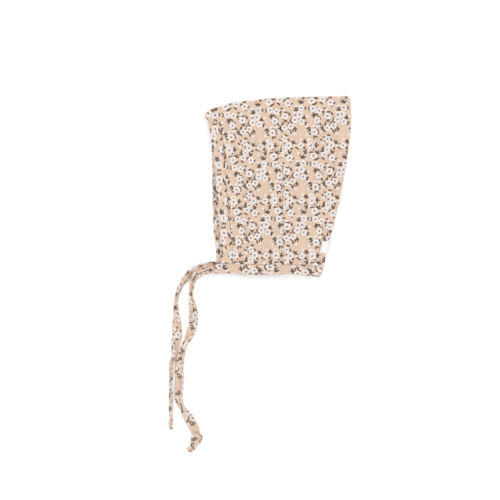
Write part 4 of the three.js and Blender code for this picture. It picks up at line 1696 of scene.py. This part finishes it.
@dataclass(frozen=True)
class Label:
    """The small bare woven tag, folded and sewn into the back seam."""

    form: BonnetForm
    relief: NearRelief
    width: float = 8.0
    height: float = 13.0
    middle_y: float = -66.5
    thickness: float = 1.0
    columns: int = 24
    rows: int = 26
    reach_round: float = 1.25
    free_edge_lift: float = 0.5
    lift_at_foot: float = 0.6
    lift_towards_head: float = 0.8

    def build(self) -> Solid:
        """Lays the tag on the near layer and bends its outer edge down round the seam.

        Past the place where the cloth starts to round, the tag follows a circle: the way along it over its
        radius is the angle, whose sine moves it out and whose cosine drops it. Its free edge lifts by the
        cube of the share of the way from the seam.
        """
        form = self.form
        rim = self.thickness / 2
        across, up = shares(self.columns, self.rows)
        y = self.middle_y + (self.height / 2 - rim) * (2 * up - 1)
        inset = form.fold_radius + form.cloth / 2
        radius = inset + form.seam_gap + rim
        start = form.back_edge(y) - inset
        flat_x = start + inset * self.reach_round - (self.width - rim) * (1 - across)
        past = np.maximum(flat_x - start, 0) / radius
        x = np.where(past > 0, start + radius * np.sin(past), flat_x)
        held_x = np.minimum(x, start)
        ground = form.near_height(held_x, y, form.cloth) + self.relief.height(held_x, y)
        lift = form.cloth / 2 + form.seam_gap + rim
        lift_here = self.lift_at_foot + self.lift_towards_head * up
        curl = self.free_edge_lift * (1 - across) ** 3 * lift_here
        z = ground + lift + curl - radius * (1 - np.cos(past))
        surface = ClothSurface()
        numbers = surface.add_points(np.stack([x, y, z], axis=-1))
        surface.add_squares(numbers, np.stack([across * self.width, up * self.height], axis=-1))
        return thicken(surface, self.thickness)


def closed_tube(rings: np.ndarray, places: np.ndarray) -> Solid:
    """Closes a row of rings into a solid, with a ladder of squares across each end.

    Args:
        rings: Points by ring and by place round it, which runs from the left over the top to the right
            and back below. The number round is even, and point i faces point k - 1 - i across the ring.
        places: The print's places, with one more round the ring than there are points.

    Returns:
        The closed solid.
    """
    count, around = rings.shape[:2]
    numbers = np.arange(count * around).reshape(count, around)
    wrapped = np.concatenate([numbers, numbers[:, :1]], axis=1)
    rung = np.arange(around // 2 - 1)
    ladder = np.stack([rung, rung + 1, around - 2 - rung, around - 1 - rung], axis=1)
    quads = np.concatenate([grid_quads(wrapped), numbers[0][ladder[:, ::-1]], numbers[-1][ladder]])
    corners = np.concatenate([grid_corners(places), places[0][ladder[:, ::-1]], places[-1][ladder]])
    return Solid(rings.reshape(-1, 3), quads, corners, np.zeros(len(quads), int))


class LaidTape(NamedTuple):
    """A tape as it lies: its solid, the middles of its rings, and its line of stitches."""

    solid: Solid
    path: np.ndarray
    seam: StitchLine


@dataclass(frozen=True)
class Tape:
    """A soft folded tape laid along a table of places. Its edges fold over where it narrows.

    Curl is the radius of that fold, and a flap narrower than the curl's start turns only part of the way.
    The stitches run at the inset from the left edge.
    """

    rows: Sequence[TapeRow]
    print_start: tuple[float, float]
    width: float = 11.0
    thickness: float = 1.8
    curl: float = 1.0
    curl_start: float = 2.5
    step: float = 1.1
    samples: int = 26
    fine_samples: int = 4000
    edge_angles: tuple[float, float] = (np.pi / 3, 2 * np.pi / 3)
    least_height: float = 0.02
    stretch: float = 1.2
    stitch_inset: float = 1.6
    sway: SoftWaves = SoftWaves(seed=31, count=4, lengths=(14, 40), lean=0.0, size=0.22)

    def columns(self) -> dict[str, np.ndarray]:
        """The table's columns, read at even steps along the tape."""
        points = np.array([[row.x, row.y, row.lift] for row in self.rows])
        gaps = np.linalg.norm(np.diff(points, axis=0), axis=1)
        way = tuple(np.concatenate([[0], np.cumsum(gaps)]).tolist())
        fine = np.linspace(0, way[-1], self.fine_samples)

        def column(name: str, at: np.ndarray) -> np.ndarray:
            """One column of the table as a smooth curve along the way."""
            return SmoothTable(way, tuple(getattr(row, name) for row in self.rows))(at)

        line = np.stack([column(name, fine) for name in ("x", "y", "lift")], axis=-1)
        run = np.concatenate([[0], np.cumsum(np.linalg.norm(np.diff(line, axis=0), axis=1))])
        stops = int(round(run[-1] / self.step))
        at = np.interp(np.linspace(0, run[-1], stops + 1), run, fine)
        read = {name: column(name, at) for name in TapeRow._fields}
        read["run"] = np.linspace(0, run[-1], stops + 1)
        return read

    def sections(self, wide: np.ndarray, over: np.ndarray) -> tuple[np.ndarray, np.ndarray, np.ndarray]:
        """The folded tape's middle line in each cross-section.

        The line runs from the left edge to the right one. Its angle is flat in the middle, and turns by
        up to half a turn near each edge that is folded over, at one over the curl's radius for each
        millimetre. The points are the running sums of the angle's cosine and sine.

        Args:
            wide: The tape's width as seen from above, at each place along it.
            over: The share of the folded cloth that lies at the right edge.

        Returns:
            Points and angles, by place along the tape and across it, and the distance across.
        """
        half_loop = self.curl + self.thickness / 2
        # A flap's straight part ends before the turn at the other edge
        most = np.maximum(wide - 3 * half_loop + np.pi * self.curl, 0)
        folded = np.minimum(np.maximum(self.width - wide, 0), most)
        cut = (wide + folded)[:, None]
        across = np.linspace(0, 1, self.samples) * cut
        angle = np.zeros_like(across)
        for side, share in ((1, clamp01(over)), (-1, 1 - clamp01(over))):
            flap = (folded * share)[:, None]
            turn = ease(flap / self.curl_start)
            from_edge = cut - across if side > 0 else across
            start = flap + half_loop * turn
            angle += side * np.clip((start - from_edge) / self.curl, 0, np.pi * turn)
        step = np.diff(across, axis=1)
        middle = (angle[:, 1:] + angle[:, :-1]) / 2
        start = np.zeros((len(wide), 1))
        x = np.concatenate([start, np.cumsum(np.cos(middle) * step, axis=1)], axis=1)
        z = np.concatenate([start, np.cumsum(np.sin(middle) * step, axis=1)], axis=1)
        x -= (x.max(axis=1, keepdims=True) + x.min(axis=1, keepdims=True)) / 2
        spread = x.max(axis=1, keepdims=True) - x.min(axis=1, keepdims=True)
        x *= (wide[:, None] - self.thickness) / np.maximum(spread, self.thickness)
        z += self.thickness / 2 - z.min(axis=1, keepdims=True)
        return np.stack([x, z], axis=-1), angle, across

    def outlines(self, points: np.ndarray, angle: np.ndarray) -> np.ndarray:
        """The closed outline of each cross-section: half a thickness to each side of its middle line, and
        two points round each edge. It runs from the left over the top to the right and back below."""
        half = self.thickness / 2
        normal = np.stack([-np.sin(angle), np.cos(angle)], axis=-1)
        ahead = np.stack([np.cos(angle), np.sin(angle)], axis=-1)
        right = [points[:, -1] + half * (np.cos(bend) * normal[:, -1] + np.sin(bend) * ahead[:, -1])
                 for bend in self.edge_angles]
        left = [points[:, 0] + half * (np.cos(bend) * normal[:, 0] - np.sin(bend) * ahead[:, 0])
                for bend in self.edge_angles]
        upper = points + half * normal
        lower = (points - half * normal)[:, ::-1]
        return np.concatenate([left[0][:, None], upper, right[0][:, None], right[1][:, None],
                               lower, left[1][:, None]], axis=1)

    def print_places(self, outlines: np.ndarray, across: np.ndarray, run: np.ndarray) -> np.ndarray:
        """The print's place at each point of the outlines: its right runs along the tape, less the
        stretch, and its up runs round the tape from the middle of the upper side."""
        closed = np.concatenate([outlines, outlines[:, :1]], axis=1)
        steps = np.linalg.norm(np.diff(closed, axis=1), axis=-1)
        round_way = np.concatenate([np.zeros((len(run), 1)), np.cumsum(steps, axis=1)], axis=1)
        start_right, start_up = self.print_start
        centred = across[:, -1:] / 2 - round_way
        along = np.broadcast_to(run[:, None] / self.stretch, round_way.shape)
        return np.stack([start_right + along, start_up + centred], axis=-1)

    def build(self) -> LaidTape:
        """Makes the tape: its cross-sections carried along its line, each at its own height."""
        read = self.columns()
        points, angle, across = self.sections(read["width"], read["over"])
        along = unit(np.gradient(np.stack([read["x"], read["y"]], axis=-1), axis=0))
        aside = np.stack([along[:, 1], -along[:, 0], np.zeros(len(along))], axis=-1)
        outlines = self.outlines(points, angle)
        ground = np.maximum(read["lift"], 0)[:, None, None]
        wave = self.sway(read["run"], read["run"])[:, None, None] * aside[:, None]
        base = np.stack([read["x"], read["y"], np.zeros(len(along))], axis=-1)[:, None]
        rings = base + wave + outlines[..., :1] * aside[:, None] + (outlines[..., 1:] + ground) * UP
        rings[..., 2] = np.maximum(rings[..., 2], self.least_height)
        places = self.print_places(outlines, across, read["run"])
        stitched = int(np.argmin(np.abs(across[len(across) // 2] - self.stitch_inset)))
        slant = angle[:, stitched, None]
        seam = StitchLine(rings[:, stitched + 1], np.cos(slant) * UP - np.sin(slant) * aside)
        return LaidTape(closed_tube(rings, places), rings.mean(axis=1), seam)


@dataclass(frozen=True)
class StitchRow:
    """A row of short stitches of sewing thread along a line on a surface."""

    length: float = 2.1
    gap: float = 0.8
    thread: float = 0.42
    sunk: float = 0.05
    around: int = 6
    bands: int = 6
    blunt: float = 0.05
    end_dip: float = 0.45

    def build(self, line: StitchLine) -> Solid:
        """Makes each stitch as a small bead drawn out along the line.

        A stitch's rings have the radius of the thread times the square root of the sine along it, and
        sink towards both ends, which are a little blunt.
        """
        points, directions = line
        run = np.concatenate([[0], np.cumsum(np.linalg.norm(np.diff(points, axis=0), axis=1))])
        starts = np.arange(self.gap, run[-1] - self.length, self.length + self.gap)
        share = np.linspace(0, 1, self.bands)
        at = starts[:, None] + share * self.length
        centre = np.stack([np.interp(at, run, points[:, axis]) for axis in range(3)], axis=-1)
        up = unit(np.stack([np.interp(at, run, directions[:, axis]) for axis in range(3)], axis=-1))
        ahead = unit(np.gradient(centre, axis=1))
        aside = np.cross(ahead, up)
        within = share * (1 - 2 * self.blunt) + self.blunt
        swell = np.sqrt(np.sin(np.pi * within))[None, :, None, None]
        angle = (FULL_TURN * (np.arange(self.around) + 0.5) / self.around)[:, None]
        ring = -np.cos(angle) * aside[:, :, None] + np.sin(angle) * up[:, :, None]
        dip = (self.thread * self.end_dip * (1 - swell) + self.sunk) * up[:, :, None]
        rings = centre[:, :, None] + self.thread / 2 * swell * ring - dip
        round_way = np.linspace(0, self.thread * np.pi, self.around + 1)
        places = np.stack(np.meshgrid(share * self.length, round_way, indexing="ij"), axis=-1)
        return joined([closed_tube(stitch, places) for stitch in rings])


@dataclass
class Bonnet:
    """The bonnet without its ties."""

    cloths: Cloths
    form: BonnetForm = BonnetForm()
    pleat: Pleat = Pleat()
    cut_size: tuple[float, float] = (0.152, 0.366)
    cut_area: float = 0.0478

    def build(self) -> dict[str, bpy.types.Object]:
        """Builds the crown, the two bands, the label and the binding's stitches."""
        form, cloths = self.form, self.cloths
        relief = NearRelief(form, self.pleat)
        binding = NeckBand(form, relief)
        crown = dressed("bonnet_crown", Crown(form, relief, self.pleat).build(),
                        [cloths.outside, cloths.inside], "crown_cotton", "crown")
        face_band = dressed("bonnet_face_band", FaceBand(form, relief).build(), [cloths.band],
                            "face_band_cotton", "face_band")
        neck_band = dressed("bonnet_neck_band", binding.build(), [cloths.band],
                            "neck_band_cotton", "neck_band")
        label = dressed("bonnet_label", Label(form, relief).build(), [cloths.label],
                        "label_tape", "label")
        stitches = dressed("binding_stitches", StitchRow().build(binding.stitch_line()), [cloths.thread],
                           "neck_band_cotton")
        on_crown = [face_band, neck_band, label, stitches]
        self.declare(crown, on_crown)
        return {piece.name: piece for piece in [crown, *on_crown]}

    def declare(self, crown: bpy.types.Object, on_it: Sequence[bpy.types.Object]) -> None:
        """Does nothing with the crown or the pieces on it. The crown was cut with both sides in one piece,
        wider at the fold.
        """
        list(on_it)


@dataclass
class Ties:
    """The two ties, the knot in the near one, and the stitches along them."""

    cloths: Cloths
    near_print: tuple[float, float] = (30.0, -2.5)
    far_print: tuple[float, float] = (7.0, -14.0)
    knot_print: tuple[float, float] = (9.0, -20.0)
    diameter: float = 0.011
    ends_clear: int = 4
    knot_thickness: float = 1.7
    knot_curl: float = 0.9
    knot_step: float = 0.7

    def build(self) -> dict[str, bpy.types.Object]:
        """Builds both ties and the knot, and says how long each one is."""
        far, far_tape = self.tie("far_tie_tape", FAR_TIE, self.far_print, "far_tie")
        near, near_tape = self.tie("near_tie_tape", NEAR_TIE, self.near_print, "near_tie")
        knot = self.knot()
        far_thread = self.thread("far_tie_stitches", far_tape.seam)
        near_thread = self.thread("near_tie_stitches", near_tape.seam)
        self.declare(near, near_tape.path, "knot", [knot, near_thread])
        self.declare(far, far_tape.path, "bare", [far_thread])
        return {piece.name: piece for piece in (near, far, knot, near_thread, far_thread)}

    def tie(self, name: str, rows: Sequence[TapeRow], start: tuple[float, float],
            node: str) -> tuple[bpy.types.Object, LaidTape]:
        """Builds one tie, and returns it with the tape as it lies."""
        tape = Tape(rows, start).build()
        return dressed(name, tape.solid, [self.cloths.tie], "tie_cotton", node), tape

    def knot(self) -> bpy.types.Object:
        """Builds the knot from its crossing strands."""
        strands = [
            Tape(rows, self.knot_print, thickness=self.knot_thickness, curl=self.knot_curl,
                 step=self.knot_step)
            for rows in KNOT_STRANDS
        ]
        cloth = joined([strand.build().solid for strand in strands])
        return dressed("near_tie_knot", cloth, [self.cloths.tie], "tie_cotton", "tie_knot")

    def thread(self, name: str, line: StitchLine) -> bpy.types.Object:
        """Sews a line of stitches along a tie, a little clear of its two ends."""
        clear = slice(self.ends_clear, -self.ends_clear)
        sewn = StitchRow().build(StitchLine(line.points[clear], line.directions[clear]))
        return dressed(name, sewn, [self.cloths.thread], "tie_cotton")

    def declare(self, piece: bpy.types.Object, path: np.ndarray, far_end: str,
                on_it: Sequence[bpy.types.Object]) -> None:
        """Says how long a tie is, as the photograph shows it from end to end."""
        metres = path * METRES
        length = float(np.linalg.norm(np.diff(metres, axis=0), axis=1).sum())
        log.info("%s: %.0f mm long", piece.name, length / METRES)


class SoftLight(NamedTuple):
    """A square soft light: where it hangs and its size in metres, and its power in watts."""

    name: str
    place: tuple[float, float, float]
    size: float
    power: float


@dataclass(frozen=True)
class Studio:
    """A plain pale floor, soft light from above and a camera that looks straight down."""

    view_width: float = 0.55
    middle: tuple[float, float] = (-0.0304, -0.0698)
    camera_height: float = 2.2
    sensor: float = 36.0
    floor_size: float = 8.0
    floor_colour: Colour = (252, 252, 252)
    floor_roughness: float = 0.95
    floor_gloss: float = 0.1
    room_light: float = 1.05
    lights: tuple[SoftLight, ...] = (
        SoftLight("key", (-0.9, 0.8, 1.5), 2.2, 6.8),
        SoftLight("fill", (0.9, -0.5, 1.6), 1.4, 3.1),
    )

    def build(self) -> None:
        """Sets up the camera, the floor and the light."""
        self.camera()
        self.floor()
        self.world()
        for light in self.lights:
            self.hang(light)
        bpy.context.scene.view_settings.view_transform = "Standard"

    def camera(self) -> None:
        """Puts the camera above the middle of the frame, as wide as the frame at the floor."""
        data = bpy.data.cameras.new("camera")
        data.sensor_width = self.sensor
        data.lens = self.sensor * self.camera_height / self.view_width
        camera = bpy.data.objects.new("camera", data)
        camera.location = (*self.middle, self.camera_height)
        bpy.context.scene.collection.objects.link(camera)
        bpy.context.scene.camera = camera

    def floor(self) -> None:
        """Lays a plain matt floor."""
        half = self.floor_size / 2
        mesh = bpy.data.meshes.new("floor")
        corners = [(-half, -half, 0), (half, -half, 0), (half, half, 0), (-half, half, 0)]
        mesh.from_pydata(corners, [], [(0, 1, 2, 3)])
        material = bpy.data.materials.new("floor")
        material.use_nodes = True
        shader = material.node_tree.nodes["Principled BSDF"]
        shader.inputs["Base Color"].default_value = linear(self.floor_colour)
        shader.inputs["Roughness"].default_value = self.floor_roughness
        shader.inputs["Specular IOR Level"].default_value = self.floor_gloss
        mesh.materials.append(material)
        floor = bpy.data.objects.new("floor", mesh)
        bpy.context.scene.collection.objects.link(floor)

    def world(self) -> None:
        """Fills the room with even white light."""
        world = bpy.data.worlds.new("room")
        world.use_nodes = True
        background = world.node_tree.nodes["Background"]
        background.inputs["Color"].default_value = (1.0, 1.0, 1.0, 1.0)
        background.inputs["Strength"].default_value = self.room_light
        bpy.context.scene.world = world

    def hang(self, soft: SoftLight) -> None:
        """Hangs a light that points at the middle of the frame."""
        data = bpy.data.lights.new(soft.name, "AREA")
        data.size = soft.size
        data.energy = soft.power
        light = bpy.data.objects.new(soft.name, data)
        light.location = soft.place
        towards = np.array([*self.middle, 0.0]) - np.array(soft.place)
        light.rotation_euler = (
            float(np.arctan2(np.hypot(towards[0], towards[1]), -towards[2])),
            0.0,
            float(np.arctan2(towards[1], towards[0]) - np.pi / 2),
        )
        bpy.context.scene.collection.objects.link(light)


def main() -> None:
    """Builds the studio, the ties and the bonnet, and reports each piece."""
    logging.basicConfig(level=logging.INFO, format="%(name)s: %(message)s")
    Studio().build()
    cloths = Cloths.made()
    pieces = {**Ties(cloths).build(), **Bonnet(cloths).build()}
    for name, piece in pieces.items():
        log.info("%s rides on %s", name, piece["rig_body"])


if __name__ == "__main__":
    main()
